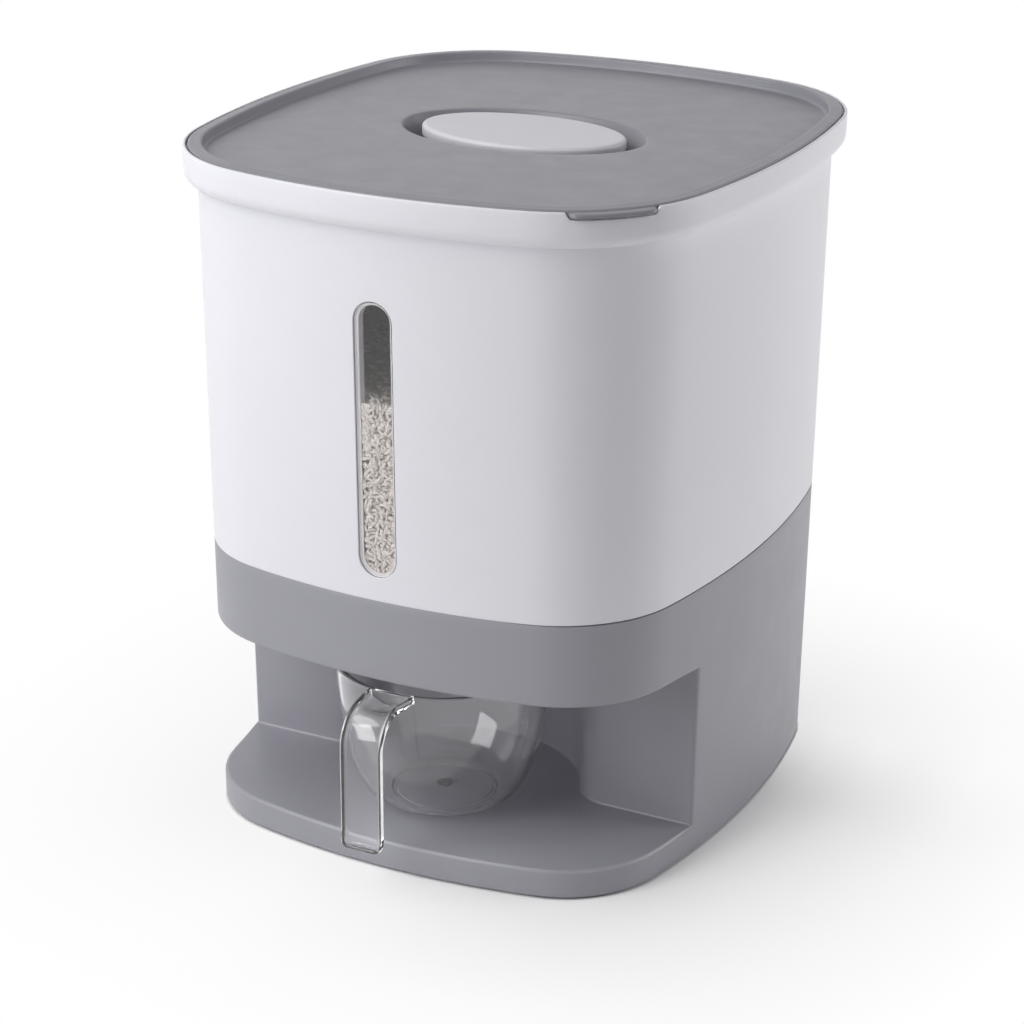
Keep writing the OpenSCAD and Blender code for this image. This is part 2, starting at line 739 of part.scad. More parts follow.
// Grey base: band around the hopper, pedestal with the niche, tray in front, ledge for the bin
module base_housing() placed() color(GREY) {
    ceiling_z = band_z + base_wall;
    edge_share = 0.3;
    difference() {
        union() {
            // Band
            body_loft([
                [band_z, -tray_edge_r / 2],
                [band_z + tray_edge_r / 2, 0],
                [seam_z, 0]
            ]);
            // Pedestal
            difference() {
                body_loft([[base_lift, 0], [ceiling_z, 0]]);
                linear_extrude(ceiling_z + cut) niche_plan(0);
            }
            // Tray
            body_loft([
                [base_lift, -tray_edge_r / 2],
                [base_lift + tray_edge_r / 2, 0],
                [tray_z - tray_edge_r, 0],
                [tray_z - tray_edge_r * edge_share, -tray_edge_r * edge_share],
                [tray_z, -tray_edge_r]
            ]);
        }
        // Room for the hopper above the niche's ceiling
        body_loft([[ceiling_z, -base_wall], [seam_z - ledge_t, -base_wall]]);
        // Opening inside the ledge
        body_loft([[seam_z - ledge_t - cut, ledge_in_grow], [seam_z + cut, ledge_in_grow]]);
        frame_holes([seam_z - ledge_t - cut, seam_z + cut]);
        // Hollow of the pedestal
        difference() {
            body_loft([[0, -base_wall], [ceiling_z + cut, -base_wall]]);
            translate([0, 0, -cut]) linear_extrude(ceiling_z + 4 * cut) niche_plan(base_wall);
            foot_bosses();
        }
        // Hollow under the tray
        difference() {
            body_loft([[0, -base_wall], [tray_z - base_wall, -base_wall]]);
            translate([0, 0, -cut]) linear_extrude(tray_z + 2 * cut)
                difference() {
                    niche_plan(base_wall);
                    niche_plan(0);
                }
            foot_bosses();
        }
        // Bay for the valve
        block(
            [-valve_w / 2 - cut, valve_w / 2 + cut],
            [valve_front_y - cut, valve_back_y + cut],
            [band_z - cut, ceiling_z + cut]
        );
        for (i = foot_spots) {
            p = foot_place(i);
            rod(p.x, p.y, [0, foot_t + fit], foot_r + fit);
        }
    }
}

// The feet stand under the four corners
foot_spots = [for (q = [0, 1, 2, 3]) frame_spots[q]];
function foot_place(i) = outline_point(0, -base_wall / 2 - foot_boss_r, i);

module foot_bosses() {
    for (i = foot_spots) {
        p = foot_place(i);
        rod(p.x, p.y, [base_lift, tray_z], foot_boss_r);
    }
}

// Four rubber feet
module feet() placed() color(RUBBER) {
    for (i = foot_spots) {
        p = foot_place(i);
        rod(p.x, p.y, [0, foot_t], foot_r);
    }
}

// Six screws from under the base's ledge, through the bin's foot, into the hopper
module frame_screws() placed() color(STEEL) {
    for (i = frame_spots) {
        p = outline_point(seam_z, boss_grow, i);
        screw(p.x, p.y, seam_z - ledge_t, ledge_t + foot_flange_t + ring_seal_t + hopper_wall);
    }
}

module spring_axis(y) {
    for (x = [-spring_gauge / 2, spring_gauge / 2])
        translate([x, y, spring_z]) rotate([-90, 0, 0]) children();
}

// Guide under the hopper: roof, side rails, front stop and spring housing
module valve_body() placed() color(WHITE) {
    housing_y = [shutter_back_y - pusher_t - slide - roof_t, valve_back_y];
    difference() {
        union() {
            block([-valve_w / 2, valve_w / 2], [valve_front_y, valve_back_y], [channel_z, hopper_z]);
            block([-ear_w / 2, ear_w / 2], [outlet_y - ear_l / 2, outlet_y + ear_l / 2], [roof_z, hopper_z]);
            block([-valve_w / 2, valve_w / 2], housing_y, [channel_z, spring_top_z]);
        }
        block([-channel_w / 2, channel_w / 2], [shutter_front_y - slide, spring_wall_y], [channel_z - cut, roof_z]);
        block(
            [-channel_w / 2, channel_w / 2],
            [housing_y[0] + roof_t, spring_wall_y],
            [channel_z, spring_top_z - roof_t]
        );
        seal_window(fit);
        for (x = [-ear_x, ear_x], y = [-ear_y, ear_y])
            rod(x, outlet_y + y, [roof_z - cut, hopper_z + cut], screw_r + fit);
        for (x = [-rail_x, rail_x], y = cover_screw_ys)
            rod(x, y, [channel_z - cut, roof_z], screw_r + fit);
    }
    spring_axis(spring_wall_y - peg_l) cylinder(r = peg_r, h = peg_l, $fn = small_fn);
}

// Outline of the seal's seat in the valve body's roof
module seal_window(grow) {
    half_w = outlet_w / 2 + 2 * hopper_wall + grow;
    half_l = outlet_l / 2 + 2 * hopper_wall + grow;
    block([-half_w, half_w], [outlet_y - half_l, outlet_y + half_l], [roof_z - cut, hopper_z + cut]);
}

// Flat soft frame that wipes the shutter's top
module outlet_seal() placed() color(SEAL) {
    difference() {
        intersection() {
            seal_window(-fit);
            block([-rim_w, rim_w], [-rim_d, rim_d], [roof_z - slide / 2, hopper_z]);
        }
        outlet_prism(outlet_y, [roof_z - cut, hopper_z + cut], 0);
    }
}

// Upright prism with the outlet's plan, moved out by grow
module outlet_prism(y, z, grow) {
    translate([0, y, z[0]]) linear_extrude(z[1] - z[0])
        polygon([for (i = [0:n_ring - 1]) outlet_point(grow, i)]);
}

// Sliding plate with its opening and two tongues that lock it to the pusher
module shutter() placed() color(PALE) {
    difference() {
        block([-shutter_w / 2, shutter_w / 2], [shutter_front_y, push_y], [shutter_z, shutter_top_z]);
        outlet_prism(outlet_y - travel, [shutter_z - cut, shutter_top_z + cut], 0);
    }
    for (side = [-1, 1]) tongue(side, [push_y - fit, shutter_back_y], 0);
}

module tongue(side, y, grow) {
    x = side * spring_gauge / 2;
    half = spring_r + grow;
    block([x - half, x + half], y, [shutter_z + roof_t / 2 - grow, shutter_top_z - roof_t / 2 + grow]);
}

// Upright plate that the cup pushes: wide above for the springs, a narrow finger below
module pusher() placed() color(GREY) {
    difference() {
        block([-shutter_w / 2, shutter_w / 2], [push_y, shutter_back_y], [shutter_z, post_top_z]);
        for (side = [-1, 1]) tongue(side, [push_y - cut, shutter_back_y + cut], fit);
    }
    block([-pusher_w / 2, pusher_w / 2], [push_y, shutter_back_y], [cup_rim_z - pusher_drop, shutter_top_z]);
    spring_axis(shutter_back_y) cylinder(r = peg_r, h = peg_l, $fn = small_fn);
}

// Two compression springs, as the sleeve that their coils fill
module return_springs() placed() color(STEEL) {
    spring_axis(shutter_back_y) difference() {
        cylinder(r = spring_r, h = spring_len, $fn = small_fn);
        translate([0, 0, -cut]) cylinder(r = spring_r - spring_wire, h = spring_len + 2 * cut, $fn = small_fn);
    }
}

// Lower cover of the valve, with the spout and the slot that the pusher passes through
module valve_cover() placed() color(WHITE) {
    slot_half = pusher_w / 2 + cut;
    difference() {
        union() {
            block([-valve_w / 2, valve_w / 2], [valve_front_y, valve_back_y], [cover_z, channel_z]);
            outlet_prism(outlet_y, [cover_z - spout_h, channel_z], hopper_wall);
        }
        outlet_prism(outlet_y, [cover_z - spout_h - cut, channel_z + cut], 0);
        block([-slot_half, slot_half], [push_y - cut, shutter_back_y + travel + cut], [cover_z - cut, channel_z + cut]);
        for (x = [-rail_x, rail_x], y = cover_screw_ys)
            rod(x, y, [cover_z - cut, channel_z + cut], screw_r + fit);
    }
}

// Four screws that hold the valve body to the hopper's flange
module valve_screws() placed() color(STEEL) {
    for (x = [-ear_x, ear_x], y = [-ear_y, ear_y])
        screw(x, outlet_y + y, roof_z, roof_t + throat_h - fit);
}

// Four screws that hold the cover to the valve body's rails
module cover_screws() placed() color(STEEL) {
    for (x = [-rail_x, rail_x], y = cover_screw_ys)
        screw(x, y, cover_z, cover_t + shutter_t);
}

// Half section of a bowl: [radius, height] points of a superellipse
function bowl_points(r_flat, r_rim, z0, z1, steps) = [
    for (k = [0:steps])
        let (p = dir(mix(0, 90, k / steps)))
            [r_flat + (r_rim - r_flat) * pow(p.y, 2 / cup_full), z1 - (z1 - z0) * pow(p.x, 2 / cup_full)]
];

// Bend of the handle in side view, at a depth below its outer face
function handle_path(depth) = [
    for (k = [0:n_corner])
        [handle_reach, cup_h] - handle_bend * [1, 1] + (handle_bend - depth) * dir(mix(90, 0, k / n_corner))
];

// Strip of the handle between two depths below its outer face
module handle_strip(low, high, x) {
    inner = handle_path(low);
    outer = handle_path(high);
    root = cup_rim_r - cup_wall;
    points = concat(
        [[root, cup_h - low]],
        inner,
        [[handle_reach - low, handle_end - slide], [handle_reach - high, handle_end - slide]],
        [for (k = [n_corner:-1:0]) outer[k]],
        [[root, cup_h - high]]
    );
    translate([x[1], -cup_y, cup_z]) rotate([0, 0, -90]) rotate([90, 0, 0])
        linear_extrude(x[1] - x[0]) polygon(points);
}

// Clear measuring cup: round bowl, foot ring, channel-shaped handle
module measuring_cup() placed() color(CLEAR) {
    floor_z = ring_h;
    steps = 2 * n_corner;
    half = handle_w / 2;
    outer = bowl_points(cup_flat_r, cup_rim_r, floor_z, cup_h, steps);
    inner = bowl_points(cup_flat_r - cup_wall / 2, cup_rim_r - cup_wall, floor_z + cup_wall, cup_h, steps);
    difference() {
        union() {
            translate([0, -cup_y, cup_z]) rotate_extrude($fn = round_fn)
                polygon(concat([[0, floor_z]], outer, [for (k = [steps:-1:0]) inner[k]], [[0, floor_z + cup_wall]]));
            translate([0, -cup_y, cup_z]) difference() {
                cylinder(r = ring_r, h = ring_h + cup_wall / 2, $fn = round_fn);
                translate([0, 0, -cut]) cylinder(r = ring_r - ring_w, h = ring_h + cup_wall + cut, $fn = round_fn);
            }
            difference() {
                union() {
                    handle_strip(handle_rim + handle_t, handle_rim, [-half, half]);
                    handle_strip(handle_rim + handle_t, 0, [-half, handle_rim_w - half]);
                    handle_strip(handle_rim + handle_t, 0, [half - handle_rim_w, half]);
                }
                translate([0, -cup_y, cup_z + floor_z]) cylinder(r = cup_rim_r - cup_wall / 2, h = cup_h, $fn = round_fn);
            }
        }
        handle_corners();
    }
}

// Waste outside the round corners at the handle's end
module handle_corners() {
    low = cup_z + handle_end - slide;
    half = handle_w / 2;
    for (side = [-1, 1])
        translate([side * (half - handle_end_r), -cup_y - handle_reach + handle_bend / 2, low + handle_end_r])
            rotate([90, 0, 0]) linear_extrude(handle_bend) difference() {
                translate([side > 0 ? 0 : -handle_end_r - cut, -handle_end_r - cut])
                    square(handle_end_r + cut);
                circle(handle_end_r, $fn = small_fn);
            }
}

bin_shell();
window_lens();
lid();
lid_gasket();
grip_plate();
grip_screws();
hopper();
hopper_gasket();
base_housing();
feet();
frame_screws();
valve_body();
outlet_seal();
shutter();
pusher();
return_springs();
valve_cover();
valve_screws();
cover_screws();
measuring_cup();
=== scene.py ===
# %% [markdown]
# # A rice dispenser with a push-back cup
#
# The white bin stands on a grey base. A clear cup waits in a niche of the base, and
# pushing it back opens a shutter under the bin. The pieces that show are built here as
# fine meshes around the measured CAD model, which is loaded first. Lengths in this
# lesson are millimetres until a mesh is made, because the real piece was drawn in them.

import math

import bmesh
import bpy
import numpy as np
from mathutils import Matrix, Vector


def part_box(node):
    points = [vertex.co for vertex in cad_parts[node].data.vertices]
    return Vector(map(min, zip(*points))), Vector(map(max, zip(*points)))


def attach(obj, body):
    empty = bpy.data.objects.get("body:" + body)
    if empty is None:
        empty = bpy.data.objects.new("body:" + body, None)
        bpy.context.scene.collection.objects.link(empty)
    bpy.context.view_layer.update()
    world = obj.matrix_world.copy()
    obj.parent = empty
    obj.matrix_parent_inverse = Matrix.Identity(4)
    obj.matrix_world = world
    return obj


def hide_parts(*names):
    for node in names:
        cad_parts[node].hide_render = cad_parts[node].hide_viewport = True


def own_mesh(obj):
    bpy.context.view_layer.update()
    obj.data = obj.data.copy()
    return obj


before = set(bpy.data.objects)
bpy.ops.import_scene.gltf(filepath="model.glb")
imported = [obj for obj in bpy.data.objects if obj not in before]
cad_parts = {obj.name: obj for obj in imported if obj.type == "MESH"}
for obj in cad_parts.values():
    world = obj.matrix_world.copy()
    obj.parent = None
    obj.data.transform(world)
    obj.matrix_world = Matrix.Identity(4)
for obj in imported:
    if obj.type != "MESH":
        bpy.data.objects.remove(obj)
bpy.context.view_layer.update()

# %% [markdown]
# ## The camera
#
# A product camera stands back with a long lens, so that upright edges stay nearly
# parallel. Its place could be set by eye, but here it was measured: the printed width,
# depth and height fix a pinhole camera, and its three axes are written as a matrix.

# %% Camera
MM = 0.001
CAMERA_AT = (607.23, -1178.34, 655.21)
CAMERA_TURN, CAMERA_RISE, CAMERA_ROLL = (math.radians(v) for v in (27.36, 21.29, 0.29))
FILM_WIDTH, LENS_LENGTH = 36, 98.51
scene = bpy.context.scene


def add_object(name, data):
    obj = bpy.data.objects.new(name, data)
    scene.collection.objects.link(obj)
    return obj


def camera_axes():
    """Right, up and back of the camera."""
    back = Vector((
        math.sin(CAMERA_TURN) * math.cos(CAMERA_RISE),
        -math.cos(CAMERA_TURN) * math.cos(CAMERA_RISE),
        math.sin(CAMERA_RISE),
    ))
    right = Vector((math.cos(CAMERA_TURN), math.sin(CAMERA_TURN), 0))
    up = back.cross(right)
    c, s = math.cos(CAMERA_ROLL), math.sin(CAMERA_ROLL)
    return right * c + up * s, up * c - right * s, back


camera = add_object("camera", bpy.data.cameras.new("camera"))
camera.data.sensor_width, camera.data.lens = FILM_WIDTH, LENS_LENGTH
axes = Matrix(camera_axes()).transposed().to_4x4()
camera.matrix_world = Matrix.Translation(Vector(CAMERA_AT) * MM) @ axes
scene.camera = camera
print("camera at", [round(v, 3) for v in camera.location])

# %% [markdown]
# ## The outline of the body
#
# Seen from above, bin, lid and base share one outline: a square with bowed sides and
# round corners that shrinks a little towards the table. A subdivided box would only come
# near it, so each side is an exact arc here and each corner an arc that touches both. The
# main sizes of each piece are read from the boxes of the CAD model.

# %% The outline at any height
def box_of(name):
    """Low corner, high corner and size of a CAD piece, in millimetres."""
    low, high = (np.round(np.array(corner) / MM, 1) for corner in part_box(name))
    return low, high, np.round(high - low, 1)


shell_low, shell_high, shell_size = box_of("bin_shell")
RIM_WIDTH, RIM_DEPTH, TOTAL_HEIGHT = shell_size[0], shell_size[1], box_of("lid")[1][2]
COLLAR_OUT = 6.5
SIDE_TAPER, FRONT_TAPER = 5.0, 6.1
FRONT_BOW, SIDE_BOW, CORNER_R = (23.8, 29.4), (22.5, 22.9), (54.9, 70.7)
MIDDLE = np.array([0.0, (shell_low[1] + shell_high[1]) / 2, 0.0])


def mix(low, high, share):
    return low + (high - low) * share


def around(r, a, z):
    """Points at radius r and height z, in the directions a (radians)."""
    return np.stack([r * np.cos(a), r * np.sin(a), z + 0 * a], -1)


def bow_radius(half, bow):
    """Radius of an arc that bows out by bow over a half chord."""
    return (half * half + bow * bow) / (2 * bow)


def body_arcs(z):
    """Front arc, side arc and corner arc at height z, each as centre x, centre y, radius."""
    share = np.asarray(z, float) / TOTAL_HEIGHT
    half_w = RIM_WIDTH / 2 - COLLAR_OUT - SIDE_TAPER * (1 - share)
    half_d = RIM_DEPTH / 2 - COLLAR_OUT - FRONT_TAPER * (1 - share)
    front_r = bow_radius(half_w, mix(*FRONT_BOW, share))
    side_r = bow_radius(half_d, mix(*SIDE_BOW, share))
    corner_r = mix(*CORNER_R, share)
    fy, gx = front_r - half_d, half_w - side_r
    p, q, d = front_r - corner_r, side_r - corner_r, np.hypot(gx, fy)
    t = (p * p - q * q + d * d) / (2 * d)
    h = np.sqrt(p * p - t * t)
    ux, uy = gx / d, -fy / d
    corner = (ux * t - uy * h, fy + uy * t + ux * h, corner_r)
    return (0 * fy, fy, front_r), (gx, 0 * gx, side_r), corner


def outline(z, grow, turn):
    """Outline points in the directions turn (degrees), moved out from the body by grow."""
    turn = np.radians(np.asarray(turn, float))
    z, grow = np.asarray(z, float) + 0 * turn, np.asarray(grow, float) + 0 * turn
    front, side, corner = body_arcs(z)
    dx, dy = np.abs(np.cos(turn)), -np.abs(np.sin(turn))

    def reach(arc):
        along = dx * arc[0] + dy * arc[1]
        return along + np.sqrt(np.maximum(along**2 - arc[0]**2 - arc[1]**2 + (arc[2] + grow)**2, 0))

    far = [reach(arc) for arc in (front, side, corner)]
    a0 = np.arctan2(corner[1] - front[1], corner[0] - front[0])
    a1 = np.arctan2(corner[1] - side[1], corner[0] - side[0])
    on_front = np.arctan2(far[0] * dy - front[1], far[0] * dx) <= a0
    on_side = np.arctan2(far[1] * dy, far[1] * dx - side[0]) >= a1
    return around(np.where(on_front, far[0], np.where(on_side, far[1], far[2])), turn, z)


print("outline at the table, front and side:", outline(0, 0, [-90, 0]).round(2).tolist())

# %% [markdown]
# ## From rings of points to a moulded piece
#
# Most moulded pieces are stacks of rings. A skin joins each ring to the next, and open
# ends get a cap. Points that meet are merged, faces are turned outward, and only edges
# sharper than a limit stay sharp, so that curved walls shade smoothly.

# %% Skins, caps and pieces
SHARP = math.radians(38)


def skin(rings, round_about=True, stacked=False):
    """Faces between neighbouring rings. round_about closes each ring, stacked the stack."""
    rows, count = len(rings), len(rings[0])
    faces = []
    for k in range(rows if stacked else rows - 1):
        for i in range(count if round_about else count - 1):
            j, m = (i + 1) % count, (k + 1) % rows
            faces.append((k * count + i, k * count + j, m * count + j, m * count + i))
    return faces


def joined(parts):
    """Several (points, faces) pairs as one."""
    points, faces, start = [], [], 0
    for part_points, part_faces in parts:
        part_points = np.asarray(part_points, float).reshape(-1, 3)
        points.append(part_points)
        faces += [tuple(int(v) + start for v in face) for face in part_faces]
        start += len(part_points)
    return np.concatenate(points), faces


def solid(rings):
    """A skin through a stack of rings, with a cap on either end."""
    rings = [np.asarray(r, float) for r in rings]
    faces, count = skin(rings), len(rings[0])
    faces.append(tuple(range(count - 1, -1, -1)))
    faces.append(tuple(range((len(rings) - 1) * count, len(rings) * count)))
    return np.concatenate(rings), faces


def smooth_by_angle(mesh, limit=SHARP):
    mesh.polygons.foreach_set("use_smooth", [True] * len(mesh.polygons))
    mesh.set_sharp_from_angle(angle=limit)


def mesh_of(name, points, faces, merge=0.004):
    """A clean mesh in metres from points in millimetres."""
    mesh = bpy.data.meshes.new(name)
    mesh.from_pydata(((np.asarray(points) + MIDDLE) * MM).tolist(), [], faces)
    work = bmesh.new()
    work.from_mesh(mesh)
    bmesh.ops.remove_doubles(work, verts=work.verts, dist=merge * MM)
    bmesh.ops.dissolve_degenerate(work, edges=work.edges, dist=merge * MM / 4)
    bmesh.ops.recalc_face_normals(work, faces=work.faces)
    work.to_mesh(mesh)
    work.free()
    smooth_by_angle(mesh)
    return mesh


def carve(name, points, faces, cutters, operation="DIFFERENCE", limit=SHARP):
    """A mesh with other solids cut away from it, or joined to it."""
    blank = add_object(name, mesh_of(name, points, faces))
    tools = []
    for cutter in cutters:
        tool = add_object("tool", mesh_of("tool", *cutter))
        step = blank.modifiers.new("cut", "BOOLEAN")
        step.operation, step.solver, step.object = operation, "EXACT", tool
        tools.append(tool)
    graph = bpy.context.evaluated_depsgraph_get()
    mesh = bpy.data.meshes.new_from_object(blank.evaluated_get(graph))
    for used in [*tools, blank]:
        bpy.data.objects.remove(used)
    smooth_by_angle(mesh, limit)
    return mesh


def place(name, mesh, body, slot, finish, *nodes):
    """Puts a finished mesh on its CAD body, in the stead of these CAD nodes."""
    obj = add_object(name, mesh)
    mesh.materials.clear()
    mesh.materials.append(finish)
    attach(obj, body)
    if nodes:
        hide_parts(*nodes)
    print(f"{name}: {len(mesh.polygons)} faces, on {body}")
    return obj


# %% [markdown]
# ## Plastic as it leaves the mould
#
# Plain plastic is never quite plain: the colour drifts a little over a hand's width, the
# mould leaves a fine grain on a faintly wavy face, and handling makes some places duller.
# Noises of those sizes drive the colour, the gloss and the bump.

# %% Moulded plastic
def noise(tree, scale, detail=2.0, rough=0.5, stretch=None):
    """Noise over the piece itself. scale counts its waves in one metre."""
    spot = tree.nodes.new("ShaderNodeTexCoord").outputs["Object"]
    if stretch:
        turned = tree.nodes.new("ShaderNodeMapping")
        turned.inputs["Scale"].default_value = stretch
        tree.links.new(spot, turned.inputs["Vector"])
        spot = turned.outputs["Vector"]
    texture = tree.nodes.new("ShaderNodeTexNoise")
    texture.inputs["Scale"].default_value = scale
    texture.inputs["Detail"].default_value = detail
    texture.inputs["Roughness"].default_value = rough
    tree.links.new(spot, texture.inputs["Vector"])
    return texture.outputs["Fac"]


def between(tree, factor, low, high, start=0.3, end=0.7):
    """A number that runs from low to high while factor runs from start to end."""
    step = tree.nodes.new("ShaderNodeMapRange")
    for name, value in (("From Min", start), ("From Max", end), ("To Min", low), ("To Max", high)):
        step.inputs[name].default_value = value
    tree.links.new(factor, step.inputs["Value"])
    return step.outputs["Result"]


def tones(tree, factor, low, high, start=0.3, end=0.7):
    """A colour that runs from low to high."""
    ramp = tree.nodes.new("ShaderNodeValToRGB")
    for stop, place_at, colour in zip(ramp.color_ramp.elements, (start, end), (low, high)):
        stop.position, stop.color = place_at, (*colour, 1)
    tree.links.new(factor, ramp.inputs["Fac"])
    return ramp.outputs["Color"]


def relief(tree, height, depth_mm, strength=1.0, under=None):
    """Bump of a real depth."""
    bump = tree.nodes.new("ShaderNodeBump")
    bump.inputs["Distance"].default_value = depth_mm * MM
    bump.inputs["Strength"].default_value = strength
    tree.links.new(height, bump.inputs["Height"])
    if under:
        tree.links.new(under, bump.inputs["Normal"])
    return bump.outputs["Normal"]


def new_finish(name, **sockets):
    """A new material, its node tree and its shader, with these sockets set."""
    finish = bpy.data.materials.new(name)
    finish.use_nodes = True
    shader = finish.node_tree.nodes["Principled BSDF"]
    for socket, value in sockets.items():
        shader.inputs[socket.replace("_", " ")].default_value = value
    return finish, finish.node_tree, shader


def wire(tree, shader, colour, gloss, bump):
    """Feeds a shader's colour, roughness and bump."""
    for socket, source in (("Base Color", colour), ("Roughness", gloss), ("Normal", bump)):
        tree.links.new(source, shader.inputs[socket])


def blended(tree, share, first, second, output="Material Output"):
    """Shows the first shader where share is 0, and the second where it is 1."""
    blend = tree.nodes.new("ShaderNodeMixShader")
    for spot, source in enumerate((share, first, second)):
        tree.links.new(source, blend.inputs[spot])
    tree.links.new(blend.outputs["Shader"], tree.nodes[output].inputs["Surface"])


def moulded(name, colour, gloss, grain_mm=0.45, grain_deep=0.004, drift=0.03, **sockets):
    """Moulded plastic: gloss is its lowest and highest roughness."""
    finish, tree, shader = new_finish(name, **sockets)
    low, high = (tuple(c * (1 + side * drift) for c in colour) for side in (-1, 1))
    wide = noise(tree, 7, 4, 0.55)
    handled = noise(tree, 60, 5, 0.6)
    flow = relief(tree, noise(tree, 45, 2), 0.02, 0.35)
    grain = relief(tree, noise(tree, 1 / (grain_mm * MM), 3), grain_deep, 1.0, flow)
    wire(tree, shader, tones(tree, wide, low, high), between(tree, handled, *gloss), grain)
    return finish


BIN_WHITE = moulded("bin_white", (0.80, 0.80, 0.85), (0.30, 0.40), 0.8, 0.003, 0.012)
LID_GREY = moulded("lid_grey", (0.235, 0.233, 0.265), (0.34, 0.44), 0.4, 0.006, 0.008)
BASE_GREY = moulded(
    "base_grey", (0.318, 0.315, 0.354), (0.36, 0.46), 0.5, 0.005, 0.012, Specular_IOR_Level=0.6
)
GRIP_PALE = moulded("grip_pale", (0.69, 0.69, 0.73), (0.36, 0.46), 0.4, 0.004, 0.015)
HOPPER_WHITE = moulded("hopper_white", (0.74, 0.74, 0.75), (0.34, 0.46), 0.6, 0.004, 0.02)
VALVE_WHITE = moulded("valve_white", (0.70, 0.70, 0.72), (0.36, 0.50), 0.6, 0.004, 0.02)
SHUTTER_PALE = moulded("shutter_pale", (0.52, 0.53, 0.56), (0.28, 0.40), 0.4, 0.003, 0.02)
PUSHER_GREY = moulded("pusher_grey", (0.22, 0.22, 0.235), (0.36, 0.48), 0.4, 0.005, 0.03)
SOFT_SEAL = moulded("soft_seal", (0.60, 0.61, 0.63), (0.52, 0.66), 1.2, 0.010, 0.03)
FOOT_RUBBER = moulded("foot_rubber", (0.045, 0.045, 0.05), (0.62, 0.80), 0.7, 0.030, 0.12)
print("plastic finishes:", len(bpy.data.materials))

# %% [markdown]
# ## Clear plastic and steel
#
# The cup and the window are clear styrene: light passes through, bends, and leaves a
# bright line along each edge. The shader does that by itself once the pieces have real
# thickness. Faint smears in the roughness keep it from looking like a lens. Light that
# bends is slow to trace as far as the tray, so most lamp light crosses the cup straight.
# Screws and springs are plated steel with fine lines left by the tool.

# %% Clear plastic and steel
def clear(name, tint, gloss, clarity, lamps_through=0.0):
    """Clear plastic. lamps_through is the share of lamp light that crosses it straight."""
    finish, tree, shader = new_finish(name, Transmission_Weight=clarity, IOR=1.49)
    smear = noise(tree, 30, 5, 0.65)
    colour = tones(tree, smear, tuple(c * 0.985 for c in tint), tint)
    bump = relief(tree, noise(tree, 25, 2), 0.03, 0.3)
    wire(tree, shader, colour, between(tree, smear, *gloss, 0.45, 0.75), bump)
    if lamps_through:
        from_lamp = tree.nodes.new("ShaderNodeLightPath").outputs["Is Shadow Ray"]
        share = between(tree, from_lamp, 0, lamps_through, 0, 1)
        bare = tree.nodes.new("ShaderNodeBsdfTransparent").outputs["BSDF"]
        blended(tree, share, shader.outputs["BSDF"], bare)
    return finish


def plated(name, colour, gloss, lines):
    """Plated steel. lines stretches the tool's marks along each axis."""
    finish, tree, shader = new_finish(name, Metallic=1.0)
    worn = noise(tree, 900, 4, 0.6, lines)
    shade = tones(tree, worn, tuple(c * 0.8 for c in colour), colour)
    wire(tree, shader, shade, between(tree, worn, *gloss), relief(tree, worn, 0.01, 0.6))
    return finish


CUP_CLEAR = clear("cup_clear", (0.99, 0.99, 1.0), (0.0, 0.03), 0.98, 0.7)
LENS_CLEAR = clear("lens_clear", (0.985, 0.965, 0.952), (0.02, 0.06), 1.0)
SCREW_STEEL = plated("screw_steel", (0.62, 0.62, 0.64), (0.25, 0.42), (1, 1, 0.2))
SPRING_STEEL = plated("spring_steel", (0.55, 0.55, 0.57), (0.22, 0.38), (1, 0.2, 1))
print("all finishes:", len(bpy.data.materials))

# %% [markdown]
# ## Directions around the body
#
# All rings of bin and lid use the same directions, so that skins join point to point.
# Most are a degree and a half apart. They are closer at the window and where the
# finger tab and its notch begin and end, because small curves need more points there.

# %% Directions
TAB_TURN, TAB_HALF, TAB_FROM_CORNER = -46.5, 15.0, 76
WINDOW_TURNS, TAB_ROOM = (-98.25, -81.7), 1.6
TURN_STEP, WINDOW_STEP, TAB_STEP, LEAST_STEP = 1.5, 0.75, 0.12, 0.05
CORNER_X, CORNER_Y, RIM_CORNER_R = (float(v) for v in body_arcs(TOTAL_HEIGHT)[2])


def direction_of(corner_turn, reach):
    """Direction, from the middle, of a point seen from the corner's centre."""
    a = math.radians(corner_turn)
    return math.degrees(math.atan2(CORNER_Y + reach * math.sin(a), CORNER_X + reach * math.cos(a)))


def corner_turns(points):
    """Directions of points as seen from the centre of the front right corner."""
    return np.degrees(np.arctan2(points[:, 1] - CORNER_Y, points[:, 0] - CORNER_X))


tab_ends = [direction_of(TAB_TURN + side * (TAB_HALF + 0.3), TAB_FROM_CORNER) for side in (-1, 1)]
TURNS = np.unique(np.concatenate([
    np.arange(-180, 180, TURN_STEP),
    np.arange(*WINDOW_TURNS, WINDOW_STEP),
    *[np.arange(end - TAB_ROOM, end + TAB_ROOM, TAB_STEP) for end in tab_ends],
]).round(3))
TURNS = TURNS[np.concatenate([[True], np.diff(TURNS) > LEAST_STEP])]
print("directions:", len(TURNS), "tab ends at", [round(t, 1) for t in tab_ends])


def ease(value, low, high):
    """0 below low, 1 above high, smooth between."""
    t = np.clip((np.asarray(value, float) - low) / (high - low), 0, 1)
    return t * t * (3 - 2 * t)


def arc_steps(count, start=0.0, end=90.0):
    """Pairs of cosine and sine along an arc."""
    a = np.radians(np.linspace(start, end, count + 1))
    return np.stack([np.cos(a), np.sin(a)], -1)


def wall_rings(steps):
    """Rings in all directions, one for each height and growth."""
    return [outline(z, grow, TURNS) for z, grow in steps]


